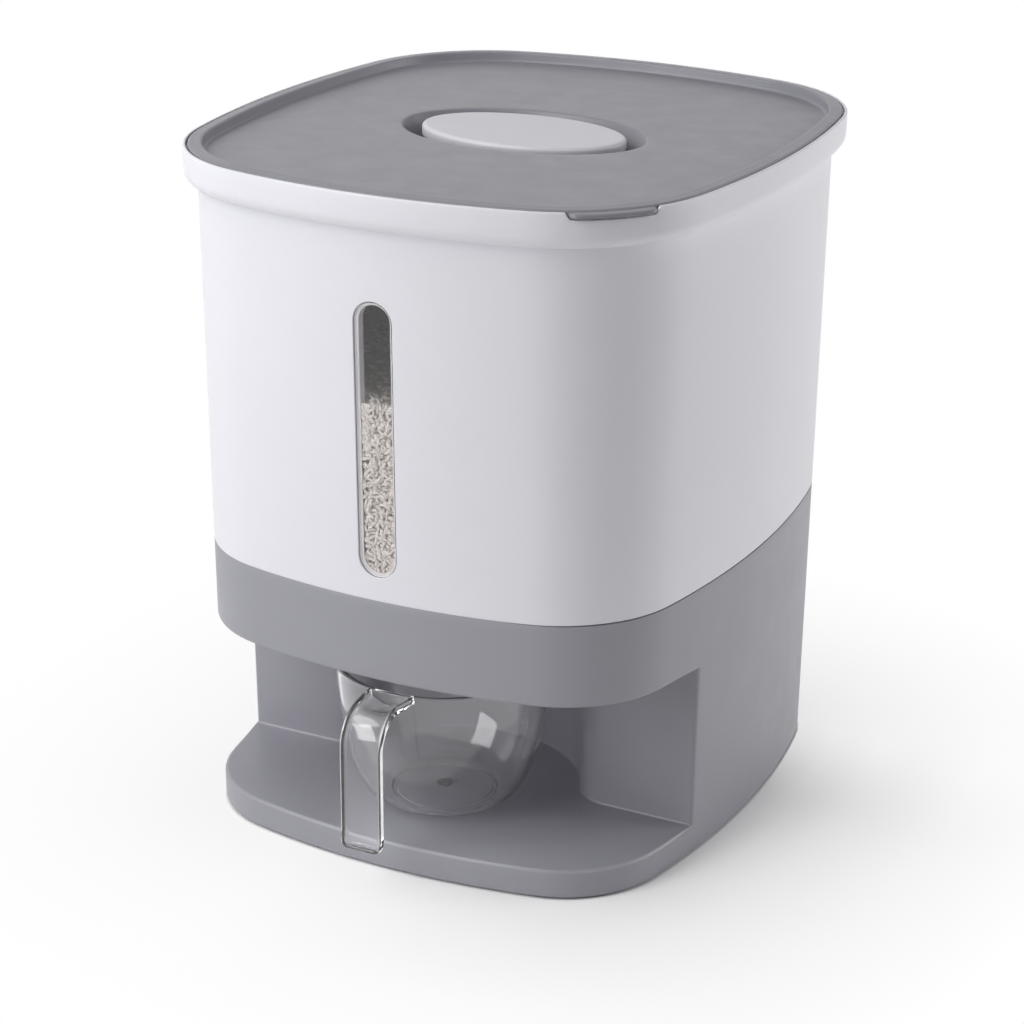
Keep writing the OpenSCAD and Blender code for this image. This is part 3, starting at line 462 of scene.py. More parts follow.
# %% [markdown]
# ## The bin
#
# The bin is one white moulding: a tapered wall with a round-bellied collar, a seat for
# the lid, and a foot that turns in over the base. The sight slot could be cut with a
# boolean, but that leaves ragged shading. Here the wall's grid has a gap, and rings the
# shape of the slot lead from that gap over a small rounding into the slot's frame.

# %% The slot of the sight window
SEAM_Z, BIN_FLOOR_Z = shell_low[2], box_of("hopper_gasket")[0][2]
SLOT_W, SLOT_H, SLOT_LOW = 20.0, 134.2, 153.9
SLOT_R = SLOT_W / 2
SLOT_ENDS = (SLOT_LOW + SLOT_R, SLOT_LOW + SLOT_H - SLOT_R)
SLOT_EDGE_R = 0.45
print("slot from", SLOT_LOW, "to", SLOT_LOW + SLOT_H, "mm above the table")


def front_point(x, z, depth=0.0):
    """A point on the bin's front wall, or depth below it."""
    front = body_arcs(z)[0]
    return np.stack([x, front[1] - np.sqrt((front[2] - depth)**2 - x**2), z + 0 * x], -1)


def slot_partner(x, z, grow):
    """The point of the slot's outline, widened by grow, that faces (x, z)."""
    end = np.clip(z, *SLOT_ENDS)
    off = np.hypot(x, z - end)
    return x / off * (SLOT_R + grow), end + (z - end) / off * (SLOT_R + grow)


def slot_ring(x, z, grow, depth):
    px, pz = slot_partner(x, z, grow)
    return front_point(px, pz, depth)


# %% Heights of the wall's rings
COLLAR_Z, RIM_Z, SEAT_Z = 321.6, shell_high[2], 337.0
NOTCH_Z = SEAT_Z - 1.0
SEAM_GAP, SEAM_OPENS, SEAM_SHUTS = 0.75, (-70, -48), (120, 170)
FLANGE_IN, FLANGE_EDGE = 13.5, 0.3
MOUTH_GROW, SEAT_GROW, WALL = 0.6, 5.1, 2.6
SLOT_ROWS = (146.0, 295.5)
wall_z = np.unique(np.concatenate([
    [143.5, 146.0, 148.5, 151.0],
    np.arange(153.0, SLOT_ENDS[0], 1.5), [SLOT_ENDS[0]],
    np.linspace(SLOT_ENDS[0], SLOT_ENDS[1], 14),
    np.arange(SLOT_ENDS[1] + 1.5, 289.5, 1.5),
    [290.5, 293.0, 295.5, 303.0, 312.0, 321.0],
]).round(3))
slot_columns = np.flatnonzero(np.abs(TURNS + 90) < 8.3)
slot_rows = np.flatnonzero((wall_z >= SLOT_ROWS[0]) & (wall_z <= SLOT_ROWS[1]))
print("wall rows:", len(wall_z), "slot gap:", len(slot_rows), "by", len(slot_columns))


def gap_edge(grid):
    """The grid's points around the slot's gap, in order."""
    rows = grid[slot_rows[0]:slot_rows[-1] + 1, slot_columns[0]:slot_columns[-1] + 1]
    return np.concatenate([rows[0], rows[1:, -1], rows[-1, -2::-1], rows[-2:0:-1, 0]])


def wall_with_gap(grid):
    """Faces of the wall's grid, without those over the slot."""
    count = grid.shape[1]
    inside = set()
    for k in range(slot_rows[0], slot_rows[-1]):
        inside.update(k * count + i for i in range(slot_columns[0], slot_columns[-1]))
    return [face for face in skin(grid) if face[0] not in inside]


# %% The bin's mesh
SLOT_FRAME = [
    (0, 2.1), (-1.8, 2.1), (-2, 2.3), (-2, 6.3), (-1.7, 6.6), (-0.7, 6.6),
    (-0.4, 6.3), (-0.4, 3.6), (1.3, 3.6), (1.6, 3.3), (1.6, WALL),
]


def notch_share():
    """1 where the rim is cut down for the lid's finger tab, else 0."""
    away = np.abs(corner_turns(outline(RIM_Z, COLLAR_OUT, TURNS)) - TAB_TURN)
    return 1 - ease(away, TAB_HALF - 0.8, TAB_HALF + 1.6)


def rim_ring(z, grow, notch_z, share):
    """A ring near the rim, which dips to notch_z in the notch."""
    points = outline(z, grow, TURNS)
    points[:, 2] = mix(z, notch_z, share)
    return points


def seam_ring(rise, grow):
    """A ring over the seam, whose gap opens from the front's middle towards the right."""
    points = outline(SEAM_Z + rise, grow, TURNS)
    points[:, 2] += SEAM_GAP * ease(TURNS, *SEAM_OPENS) * (1 - ease(TURNS, *SEAM_SHUTS))
    return points


def bin_mesh():
    share = notch_share()
    outer = np.stack(wall_rings((z, 0) for z in wall_z))
    inner = np.stack(wall_rings((z, -WALL) for z in wall_z))
    belly = wall_rings((COLLAR_Z + COLLAR_OUT * (1 - s), COLLAR_OUT * c) for c, s in arc_steps(9, 90, 0))
    edge = 0.9
    lip = [
        rim_ring(RIM_Z - edge * (1 - s), COLLAR_OUT - edge * (1 - c), NOTCH_Z - edge * (1 - s), share)
        for c, s in arc_steps(5)
    ]
    seat = [
        rim_ring(RIM_Z, SEAT_GROW + 0.25, NOTCH_Z, share),
        rim_ring(RIM_Z - 0.25, SEAT_GROW, NOTCH_Z - 0.01, share),
        rim_ring(SEAT_Z, SEAT_GROW, NOTCH_Z - 0.02, share),
        rim_ring(SEAT_Z, MOUTH_GROW + 0.3, NOTCH_Z - 0.02, share),
        rim_ring(SEAT_Z - 0.3, MOUTH_GROW, NOTCH_Z - 0.3, share),
    ]
    mouth = wall_rings([(COLLAR_Z + 1.6, MOUTH_GROW), (COLLAR_Z + 0.4, -WALL + 0.5)])
    high = [outer[-1], *belly, *lip, *seat, *mouth, inner[-1]]
    foot = wall_rings([
        (BIN_FLOOR_Z, -WALL), (BIN_FLOOR_Z, FLANGE_EDGE - FLANGE_IN), (BIN_FLOOR_Z - FLANGE_EDGE, -FLANGE_IN),
        (SEAM_Z + FLANGE_EDGE, -FLANGE_IN), (SEAM_Z, FLANGE_EDGE - FLANGE_IN), (SEAM_Z, -2.8),
    ])
    foot += [seam_ring(rise, grow) for rise, grow in ((0, -2.79), (0, -0.25), (0.08, -0.08), (0.25, 0))]
    low = [inner[0], *foot, outer[0]]
    edge_outer, edge_inner = gap_edge(outer), gap_edge(inner)
    x, z = edge_outer[:, 0], edge_outer[:, 2]
    start = slot_ring(x, z, SLOT_EDGE_R, 0)
    rim = [mix(edge_outer, start, s) for s in (0, 0.3, 0.6, 0.85, 0.96)]
    rim = [front_point(r[:, 0], r[:, 2]) for r in rim]
    rim[0] = edge_outer
    rim += [slot_ring(x, z, SLOT_EDGE_R * (1 - s), SLOT_EDGE_R * (1 - c)) for c, s in arc_steps(5)]
    rim += [slot_ring(x, z, grow, depth) for grow, depth in SLOT_FRAME]
    x, z = edge_inner[:, 0], edge_inner[:, 2]
    back = slot_ring(*slot_partner(x, z, 0), 1.6, WALL)
    rim += [mix(back, edge_inner, s) for s in (0.15, 0.5)]
    rim.append(edge_inner)
    parts = [
        (outer, wall_with_gap(outer)), (inner, wall_with_gap(inner)),
        (np.stack(high), skin(high)), (np.stack(low), skin(low)), (np.stack(rim), skin(rim)),
    ]
    return mesh_of("bin", *joined(parts))


place("bin", bin_mesh(), "housing", "bin_white", BIN_WHITE, "bin_shell")

# %% [markdown]
# ## The window's lens
#
# A clear strip lies flush in the slot. It is built from the same slot rings, drawn in
# towards the strip's middle line, so that its face follows the wall's curve.

# %% Lens
LENS_FACE, LENS_BACK = 0.1, 1.5
LENS_INSETS = (-9.8, -8, -5, -2.5)


def slot_loop(steps_round=14, steps_long=24):
    """Points around the slot's outline, unwidened."""
    a = np.radians(np.linspace(0, 180, steps_round * 2, endpoint=False))
    top = np.stack([SLOT_R * np.cos(a), SLOT_ENDS[1] + SLOT_R * np.sin(a)], -1)
    down = np.linspace(SLOT_ENDS[1], SLOT_ENDS[0], steps_long, endpoint=False)
    left = np.stack([np.full(steps_long, -SLOT_R), down], -1)
    bottom = np.stack([-SLOT_R * np.cos(a), SLOT_ENDS[0] - SLOT_R * np.sin(a)], -1)
    right = np.stack([np.full(steps_long, SLOT_R), down[::-1] - (down[-1] - SLOT_ENDS[0])], -1)
    return np.concatenate([top, left, bottom, right])


def lens_mesh():
    x, z = slot_loop().T
    face = [(grow, LENS_FACE) for grow in (*LENS_INSETS, -0.7)]
    edge = [(-0.25, 0.2), (-0.1, 0.45), (-0.1, 1.1), (-0.25, 1.4)]
    back = [(grow, LENS_BACK) for grow in (-0.6, *LENS_INSETS[::-1])]
    rings = [slot_ring(x, z, grow, depth) for grow, depth in face + edge + back]
    return mesh_of("window_lens", *solid(rings))


place("window_lens", lens_mesh(), "housing", "clear_plastic", LENS_CLEAR, "window_lens")

# %% [markdown]
# ## The lid
#
# The lid is a tray: a raised bead runs around a sunk panel, and an oval recess lets the
# fingers under the grip plate. From the bead's edge a tab reaches out over the corner,
# for a finger to lift. All of it is one stack of rings, from the underside of the recess
# out to the edge and back over the top.

# %% The lid's rings
PLUG_Z, PANEL_Z, PANEL_T = 324.0, 335.0, 2.2
LID_GROW = 4.3
RECESS_LEN, RECESS_WID, RECESS_DEEP, RECESS_DRAFT = 125.5, 81.0, 14.0, 7.0
RECESS_Z = PANEL_Z - RECESS_DEEP
RECESS_ROLL = 1.7
GROOVE_Z = (326.9, 331.1)
TAB_GROW, TAB_R = 8.8, 4.0


def oval(length, width, z, turns=TURNS):
    """A ring in the form of an ellipse."""
    a = np.radians(turns)
    return around(1 / np.hypot(np.cos(a) / (length / 2), np.sin(a) / (width / 2)), a, z)


def recess_ring(grow, z):
    """The recess's oval, wider by grow all round."""
    return oval(RECESS_LEN + 2 * grow, RECESS_WID + 2 * grow, z)


def tab_reach():
    """How far the lid's edge goes out beyond the bead's edge, for the finger tab."""
    away = np.abs(corner_turns(outline(SEAT_Z, 8, TURNS)) - TAB_TURN)
    in_mm = np.radians(TAB_HALF - away) * (RIM_CORNER_R + 8)
    full, s = TAB_GROW - LID_GROW, np.clip(in_mm, 0, TAB_R)
    shape = full - TAB_R + np.sqrt(np.maximum(TAB_R**2 - (TAB_R - s)**2, 0))
    return np.where(in_mm > 0, np.maximum(shape, 0), 0) * ease(in_mm, -0.6, 0.6)


def lid_edge_ring(reach, plain, tabbed):
    """A ring of the lid's edge: (z, inset) of the plain edge and of the tab's edge."""
    share = reach / (TAB_GROW - LID_GROW)
    inset = mix(plain[1], tabbed[1], share)
    points = outline(SEAT_Z, LID_GROW + reach - inset, TURNS)
    points[:, 2] = mix(plain[0], tabbed[0], share)
    return points


def lid_mesh():
    reach = tab_reach()
    full = TAB_GROW - LID_GROW
    under = [
        recess_ring(1 - RECESS_DRAFT, RECESS_Z - PANEL_T),
        recess_ring(2.5 - RECESS_DRAFT, RECESS_Z - PANEL_T + 1.2),
        recess_ring(PANEL_T, PANEL_Z - PANEL_T - 1),
        recess_ring(PANEL_T + 1, PANEL_Z - PANEL_T),
    ]
    plug = wall_rings([
        (PANEL_Z - PANEL_T, -4.4), (PANEL_Z - PANEL_T - 1.5, -2.9), (PLUG_Z + 0.6, -2.9), (PLUG_Z, -2.3),
        (PLUG_Z, -0.9), (PLUG_Z + 0.9, 0.1), (GROOVE_Z[0], 0.1), (GROOVE_Z[0], -1.1), (GROOVE_Z[1], -1.1),
        (GROOVE_Z[1], 0.1), (SEAT_Z, 0.1),
    ])
    edge = [
        lid_edge_ring(reach, plain, tabbed)
        for plain, tabbed in [
            ((SEAT_Z, 0.4), (SEAT_Z - 0.2, 0.5)), ((SEAT_Z + 0.4, 0), (SEAT_Z + 0.3, 0)),
            ((337.7, 0), (338.1, 0)), ((337.9, 0), (338.6, 0.35)), ((338.1, 0), (338.8, 0.9)),
            ((338.25, 0.02), (338.88, 1.7)), ((338.4, 0.04), (338.9, full)),
        ]
    ]
    out, over, crest = 1.2, 1.2, TOTAL_HEIGHT - 0.3
    bead = wall_rings([
        *[(crest - out * (1 - s), LID_GROW - 0.05 - 1.9 * (1 - c)) for c, s in arc_steps(6)],
        (crest, 2.1), (crest, 1.6), (crest + 0.02, 1.3), (TOTAL_HEIGHT - 0.04, -0.7), (TOTAL_HEIGHT, -1.1),
        *[(TOTAL_HEIGHT - over * (1 - c), -1.5 - over * s) for c, s in arc_steps(6, 0, 80)],
        (336.3, -3.05), (335.6, -3.3), (335.2, -3.75), (PANEL_Z, -4.6),
    ])
    first, last = outline(PANEL_Z, -4.6, TURNS), recess_ring(RECESS_ROLL, PANEL_Z)
    panel = [mix(first, last, share) for share in (0.03, 0.1, 0.25, 0.45, 0.65, 0.85, 0.95)]
    mouth = [
        recess_ring(RECESS_ROLL * (1 - s), PANEL_Z - RECESS_ROLL * (1 - c))
        for c, s in arc_steps(6, 0, 70)
    ]
    slope = [
        recess_ring(-RECESS_DRAFT * inward, mix(PANEL_Z - RECESS_ROLL, RECESS_Z, down))
        for inward, down in ((0.3, 0.25), (0.6, 0.55), (0.82, 0.78), (0.97, 0.92), (1.15, 0.98), (1.4, 1.0))
    ]
    return mesh_of("lid", *solid([*under, *plug, *edge, *bead, *panel, *mouth, *slope]))


place("lid", lid_mesh(), "lid", "lid_grey", LID_GREY, "lid")

# %% [markdown]
# ## Grip plate and gasket
#
# The pale oval plate stands on a narrower neck, so that fingers reach under its edge. A
# soft ring with two lips sits in the groove of the lid's plug and holds it by friction.

# %% Grip plate and lid gasket
_, plate_high, plate_size = box_of("grip_plate")
PLATE_LEN, PLATE_WID, PLATE_T, PLATE_TOP = plate_size[0], plate_size[1], 6.5, plate_high[2]
NECK_LEN, NECK_WID = 78.0, 36.0


def grip_mesh():
    low, r, blunt = PLATE_TOP - PLATE_T, 2.2, 1.5
    turns = np.arange(-90, 270, 1.5)

    def plate_ring(inset, z):
        return oval(PLATE_LEN - 2 * inset, PLATE_WID - 2 * inset, z, turns)

    neck = [
        oval(NECK_LEN - less, NECK_WID - less, z, turns)
        for less, z in ((0.6, RECESS_Z), (0, RECESS_Z + 0.5), (0, low - 1), (-2, low))
    ]
    under = [plate_ring(blunt * (1 - s), low + blunt * (1 - c)) for c, s in arc_steps(5)]
    top = [plate_ring(r * (1 - c), PLATE_TOP - r * (1 - s)) for c, s in arc_steps(6)]
    crown = [oval(PLATE_LEN * share, PLATE_WID * share, PLATE_TOP, turns) for share in (0.9, 0.5, 0.1)]
    return mesh_of("grip_plate", *solid([*neck, *under, *top, *crown]))


def gasket_mesh():
    out, back, waist = 0.3, -1.0, -0.15
    rings = wall_rings([
        (327.0, back), (327.0, 0.0), (327.6, out), (328.1, out), (328.6, waist), (329.3, waist),
        (329.8, out), (330.3, out), (331.0, 0.0), (331.0, back),
    ])
    return mesh_of("lid_gasket", np.concatenate(rings), skin(rings, stacked=True))


place("grip_plate", grip_mesh(), "lid", "grip_pale", GRIP_PALE, "grip_plate")
place("lid_gasket", gasket_mesh(), "lid", "soft_seal", SOFT_SEAL, "lid_gasket")

# %% [markdown]
# ## The base
#
# The base is a band, a pedestal with a niche, and a tray, moulded as one. Its outside is
# laid out in patches that share their edges: the wall around the back, the tray's skin,
# its top, the niche's wall with the round hollow, the ceiling and the band. The small
# roundings between them are rings of their own, since they catch the light. The hollow
# inside, which is seen only from below, is cut with solids afterwards.

# %% Plan of the niche
BAND_Z, TRAY_Z, TRAY_ROUND, BASE_FOOT_Z = 100.6, 15.5, 2.0, box_of("base_housing")[0][2]
NICHE_Y, HOLLOW_Y, HOLLOW_R, HOLLOW_FILLET = 59.0, 71.0, 63.7, 20.0
NICHE_EDGE_R, NICHE_FILLET = 2.0, 1.2
FOOT_TOP, SHOULDER_LOW, BROW_TOP, LIP_LOW = 3, 9, 110, 140


def at_height(path, z):
    """Plan points lifted to height z."""
    return np.column_stack([path, np.full(len(path), float(z))])


def wall_turn(z, grow, y):
    """Direction in which the right-hand wall stands at this y."""
    low, high = -75.0, 0.0
    for _ in range(40):
        half = (low + high) / 2
        low, high = (half, high) if outline(z, grow, [half])[0, 1] < y else (low, half)
    return low


def hollow_path(grow):
    """Plan of the round hollow with its two fillets, from right to left."""
    reach, rise = HOLLOW_R + HOLLOW_FILLET, HOLLOW_Y - NICHE_Y + HOLLOW_FILLET
    side = math.sqrt(reach**2 - rise**2)
    turn = math.degrees(math.atan2(rise, side))
    right = (side, HOLLOW_FILLET - NICHE_Y) + (HOLLOW_FILLET - grow) * arc_steps(8, 270, 180 + turn)
    back = (0, -HOLLOW_Y) + (HOLLOW_R + grow) * arc_steps(36, turn, 180 - turn)
    return np.concatenate([right, back[1:-1], right[::-1] * (-1, 1)])


def niche_path(z, grow, corner=NICHE_EDGE_R, wall_steps=10):
    """The niche's wall at height z, from the rounded right edge to the left one."""
    start = outline(z, 0, [wall_turn(z, 0, corner - NICHE_Y)])[0, :2]
    tip = np.array([outline(z, 0, [wall_turn(z, 0, -NICHE_Y)])[0, 0], -NICHE_Y])
    end = tip - (corner, 0)
    t = np.linspace(0, 1, 7)[:, None]
    edge = start * (1 - t)**2 + tip * 2 * t * (1 - t) + end * t**2 + t * (0, grow)
    wall = mix(end, hollow_path(0)[0], np.linspace(0, 1, wall_steps + 1)[1:-1, None]) + (0, grow)
    right = np.concatenate([edge, wall])
    return at_height(np.concatenate([right, hollow_path(grow), right[::-1] * (-1, 1)]), z)


COLUMNS = len(niche_path(50, 0))
print("columns across the niche:", COLUMNS)

# %% The base's patches
def front_ring(z, grow, fade=False):
    """Outline across the front, right to left. With fade, grow dies out at the niche's edges."""
    turn = wall_turn(z, 0, NICHE_EDGE_R - NICHE_Y)
    if fade:
        column = np.arange(COLUMNS)
        grow = grow * ease(np.minimum(column, column[::-1]), 0, 6)
    return outline(z, grow, np.linspace(turn, -180 - turn, COLUMNS))


def back_ring(z, grow, count=150):
    """Outline around the back, between the same two edges."""
    turn = wall_turn(z, 0, NICHE_EDGE_R - NICHE_Y)
    return outline(z, grow, np.linspace(turn, 180 - turn, count))


def base_outside():
    foot = [(BASE_FOOT_Z + 1 - s, c - 1) for c, s in arc_steps(4, 90, 0)]
    shoulder = [(TRAY_Z - TRAY_ROUND * (1 - s), -TRAY_ROUND * (1 - c)) for c, s in arc_steps(6)]
    tray = [*foot, (5.0, 0), (9.0, 0), *shoulder]
    brow = [(BAND_Z + TRAY_ROUND * (1 - s), -TRAY_ROUND * (1 - c)) for c, s in arc_steps(6, 90, 0)]
    lip = [(SEAM_Z - 0.25, 0), (SEAM_Z - 0.08, -0.08), (SEAM_Z, -0.25)]
    band = [*brow, *[(z, 0) for z in np.linspace(106, 138, 6)], *lip]
    fillet = [(NICHE_FILLET * (1 - c), -NICHE_FILLET * (1 - s)) for c, s in arc_steps(4)]
    rise = [(TRAY_Z + up, grow) for up, grow in fillet]
    fall = [(BAND_Z - down, grow) for down, grow in fillet[::-1]]
    niche = [*rise, *[(z, 0) for z in np.linspace(24, 92, 7)], *fall]
    tray_rings = [front_ring(z, grow, fade=z > SHOULDER_LOW) for z, grow in tray]
    band_rings = [front_ring(z, grow, fade=z < BROW_TOP) for z, grow in band]
    niche_rings = [niche_path(z, grow) for z, grow in niche]
    floor = [mix(tray_rings[-1], niche_rings[0], t) for t in np.linspace(0, 1, 9)]
    ceiling = [mix(niche_rings[-1], band_rings[0], t) for t in np.linspace(0, 1, 9)]
    back = [
        back_ring(z, grow if z < FOOT_TOP or z > LIP_LOW else 0)
        for z, grow in (*tray, *niche[1:-1], *band)
    ]
    patches = (tray_rings, floor, niche_rings, ceiling, band_rings, back)
    parts = [(np.stack(rows), skin(rows, round_about=False)) for rows in patches]
    for rows, spot in ((tray_rings, 0), (band_rings, -1)):
        loop = np.concatenate([back[spot], rows[spot][::-1][1:-1]])
        parts.append((loop, [tuple(range(len(loop)))]))
    return joined(parts)


# %% The hollows inside the base
BASE_WALL, DECK_TOP, CEILING_TOP = 3, 104.6, 139.5
HATCH = [(-37.3, -110.8), (37.3, -110.8), (37.3, 15.0), (-37.3, 15.0)]


def inner_wall(z, low_turn, high_turn):
    return outline(z, -BASE_WALL, np.linspace(low_turn, high_turn, 90))


def pedestal_room(z):
    """Plan of the space behind and beside the niche."""
    turn = wall_turn(z, -BASE_WALL, BASE_WALL - NICHE_Y)
    return np.concatenate([inner_wall(z, turn, 180 - turn), at_height(hollow_path(BASE_WALL), z)[::-1]])


def tray_room(z):
    """Plan of the space under the tray."""
    turn = wall_turn(z, -BASE_WALL, -NICHE_Y)
    return np.concatenate([inner_wall(z, -180 - turn, turn), at_height(hollow_path(0), z)])


def base_mesh():
    full = np.arange(0, 360, 2.0)
    rooms = [
        solid([pedestal_room(z) for z in (-1, 50, DECK_TOP)]),
        solid([tray_room(z) for z in (-1, TRAY_Z - BASE_WALL)]),
        solid([outline(z, -BASE_WALL, full) for z in (DECK_TOP - 1, CEILING_TOP)]),
        solid([outline(z, 0.5 - FLANGE_IN, full) for z in (CEILING_TOP - 1.5, SEAM_Z + 1)]),
        solid([at_height(HATCH, z) for z in (DECK_TOP - 5, DECK_TOP)]),
    ]
    return carve("base", *base_outside(), rooms)


place("base", base_mesh(), "housing", "base_grey", BASE_GREY, "base_housing")

# %% [markdown]
# ## Turned pieces: feet and screws
#
# A foot and a screw are round about an axis, so a profile is turned, as on a lathe. The
# cross in a screw's head is a dip in the head's rings, deepest along two arms.

# %% Turning a profile
THREAD_PITCH, THREAD_R, HEAD_R, HEAD_T = 0.9, 1.2, 2.6, 1.4


def turned(profile, steps=48, at=(0, 0, 0)):
    """A closed solid of revolution from (radius, height) pairs."""
    a = np.radians(np.arange(steps) * 360 / steps)
    return solid([around(r, a, z) + at for r, z in profile])


def screw_shape(length, at):
    """A pan-head screw that points up, with a cross in its head and a rolled thread."""
    a = np.radians(np.arange(40) * 9)
    rings = []
    for r in (0.15, 0.5, 0.9, 1.3, 1.6, 1.9):
        arm = np.minimum(np.abs(r * np.cos(a)), np.abs(r * np.sin(a)))
        dip = 0.8 * (1 - ease(arm, 0.18, 0.42)) * (1 - ease(r, 1.2, 1.7))
        rings.append(around(r, a, -HEAD_T + 0.1 * (r / 1.9)**2 + dip))
    profile = [(2.3, -1.15), (2.55, -0.8), (HEAD_R, -0.2), (2.5, 0), (THREAD_R, 0)]
    for k in range(int(length / THREAD_PITCH)):
        low = THREAD_PITCH * k
        profile += [(THREAD_R, 0.15 + low), (0.95, 0.45 + low), (THREAD_R, 0.75 + low)]
    profile += [(0.9, length - 0.2), (0.3, length)]
    rings += [around(r, a, z) for r, z in profile]
    return solid([ring + at for ring in rings])


def corner_spot(z, grow, quarter):
    """Middle of a corner's arc at height z. Quarters run front right, back right, and on round."""
    front, side, corner = (tuple(float(v) for v in arc) for arc in body_arcs(z))
    a = (math.atan2(corner[1] - front[1], corner[0]) + math.atan2(corner[1], corner[0] - side[0])) / 2
    x, y = corner[0] + (corner[2] + grow) * math.cos(a), corner[1] + (corner[2] + grow) * math.sin(a)
    return (x if quarter < 2 else -x, y if quarter in (0, 3) else -y)


print("front right corner, 10 mm in:", [round(v, 1) for v in corner_spot(0, -10, 0)])

# %% Feet and screws
FEET_IN, FOOT_STEPS = -10.0, 56
FOOT = [
    (0.4, 0.15), (3.4, 0.15), (3.8, 0.35), (4.2, 0.35), (4.6, 0), (5.9, 0),
    (6.35, 0.15), (6.5, 0.6), (6.5, 1.9), (6.3, 2.2), (0.4, 2.2),
]
SOCKET = [(8.2, 1.0), (8.5, 1.3), (8.5, 13.5), (0.5, 13.5), (0.5, 2.6), (6.7, 2.6), (6.7, 1.0)]


def under_corners(name, profile):
    """The same turned piece under each corner of the base."""
    spots = [corner_spot(0, FEET_IN, quarter) for quarter in range(4)]
    return mesh_of(name, *joined([turned(profile, FOOT_STEPS, (*spot, 0)) for spot in spots]))


place("feet", under_corners("feet", FOOT), "housing", "foot_rubber", FOOT_RUBBER, "feet")
place("foot_sockets", under_corners("foot_sockets", SOCKET), "housing", "base_grey", BASE_GREY)

FRAME_SCREW_IN = -9.6
side_reach = float(outline(SEAM_Z, FRAME_SCREW_IN, [0])[0, 0])
frame_spots = [corner_spot(SEAM_Z, FRAME_SCREW_IN, q) for q in range(4)] + [(side_reach, 0), (-side_reach, 0)]
SCREWS = {
    "frame_screws": (frame_spots, SEAM_Z - 2.5, 8.0, "housing"),
    "grip_screws": ([(-19.5, 0), (19.5, 0)], RECESS_Z - PANEL_T, 10.3, "lid"),
}
for name in ("valve_screws", "cover_screws"):
    low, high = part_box(name)
    columns = (low.x / MM + HEAD_R, high.x / MM - HEAD_R)
    rows = (low.y / MM + HEAD_R, high.y / MM - HEAD_R)
    spots = [(x, y - MIDDLE[1]) for x in columns for y in rows]
    SCREWS[name] = (spots, low.z / MM + HEAD_T, (high.z - low.z) / MM - HEAD_T, "housing")
for name, (spots, z, length, body) in SCREWS.items():
    shape = joined([screw_shape(length, (x, y, z)) for x, y in spots])
    place(name, mesh_of(name, *shape), body, "screw_steel", SCREW_STEEL, name)

# %% [markdown]
# ## The measuring cup
#
# The cup is one clear moulding, so its handle must grow out of the bowl without a wall
# between them: clear plastic shows every inner face. The bowl is turned, the handle is
# built flat and bent, and a boolean union makes them one skin.

# %% The bowl
cup_low, cup_high, cup_size = box_of("measuring_cup")
RIM_R, CUP_H, CUP_Z = cup_size[0] / 2, cup_size[2], cup_low[2]
CUP_Y = round(cup_high[1] - RIM_R - MIDDLE[1], 1)
FLAT_R, CUP_WALL, CUP_FULL, CUP_FOOT = 31.0, 2.0, 1.8, 1.3


def bowl_curve(r_flat, r_rim, low, high, steps=34):
    a = np.radians(np.linspace(0, 90, steps))
    r = r_flat + (r_rim - r_flat) * np.sin(a)**(2 / CUP_FULL)
    return list(zip(r, high - (high - low) * np.cos(a)**(2 / CUP_FULL)))


def bowl_shape():
    floor = CUP_FOOT + CUP_WALL
    outer = bowl_curve(FLAT_R, RIM_R, CUP_FOOT, CUP_H - 1)
    inner = bowl_curve(FLAT_R - 1, RIM_R - CUP_WALL, floor, CUP_H - 1)
    rim = [(RIM_R - 1 + c, CUP_H - 1 + s) for c, s in arc_steps(8, 0, 180)][1:-1]
    ring = [
        (24.0, CUP_FOOT), (24.3, 1.0), (24.5, 0.3), (24.9, 0),
        (26.1, 0), (26.5, 0.3), (26.75, 1.0), (27.1, CUP_FOOT),
    ]
    under = [(0.12, CUP_FOOT + 0.5), (1.2, CUP_FOOT + 0.35), (2.0, CUP_FOOT), (12, CUP_FOOT)]
    pip = [(2.3 + c, floor + s) for c, s in arc_steps(8, 0, 150)]
    inside = [(14, floor), (5, floor), (3.6, floor), *pip, (0.7, floor + 0.3), (0.12, floor + 0.25)]
    return turned([*under, *ring, *outer, *rim, *inner[::-1], *inside], 144, (0, CUP_Y, CUP_Z))


print("points in the bowl:", len(bowl_shape()[0]))

# %% [markdown]
# The handle is a channel: two round ribs run down its sides and meet around its end. It
# is laid out flat first, as lines that follow its edge at growing distances, which
# carries the ribs around the corners. Then each point is moved onto the bent path. Near
# the bowl the channel is deeper, so that it joins the bowl in a U.

# %% The handle
HANDLE_REACH = CUP_Y + MIDDLE[1] - cup_low[1]
HANDLE_HALF, HANDLE_BEND, HANDLE_END, HANDLE_END_R = 10.9, 19.0, 4.7, 4.0
HANDLE_ROOT = RIM_R - 1.2
ROOT_RUN = HANDLE_REACH - HANDLE_BEND - HANDLE_ROOT
BEND_RUN = HANDLE_BEND * math.pi / 2
HANDLE_LONG = ROOT_RUN + BEND_RUN + CUP_H - HANDLE_BEND - HANDLE_END
WEB_IN, WEB_DEEP, HANDLE_THICK = 3.1, 2.4, 4.4
WEB_SCOOP, ROOT_SCOOP, SCOOP_HALF, ROOT_FLARE = 1.1, 2.3, 9.2, 0.15
END_CURL, CURL_RUN = 0.014, 8


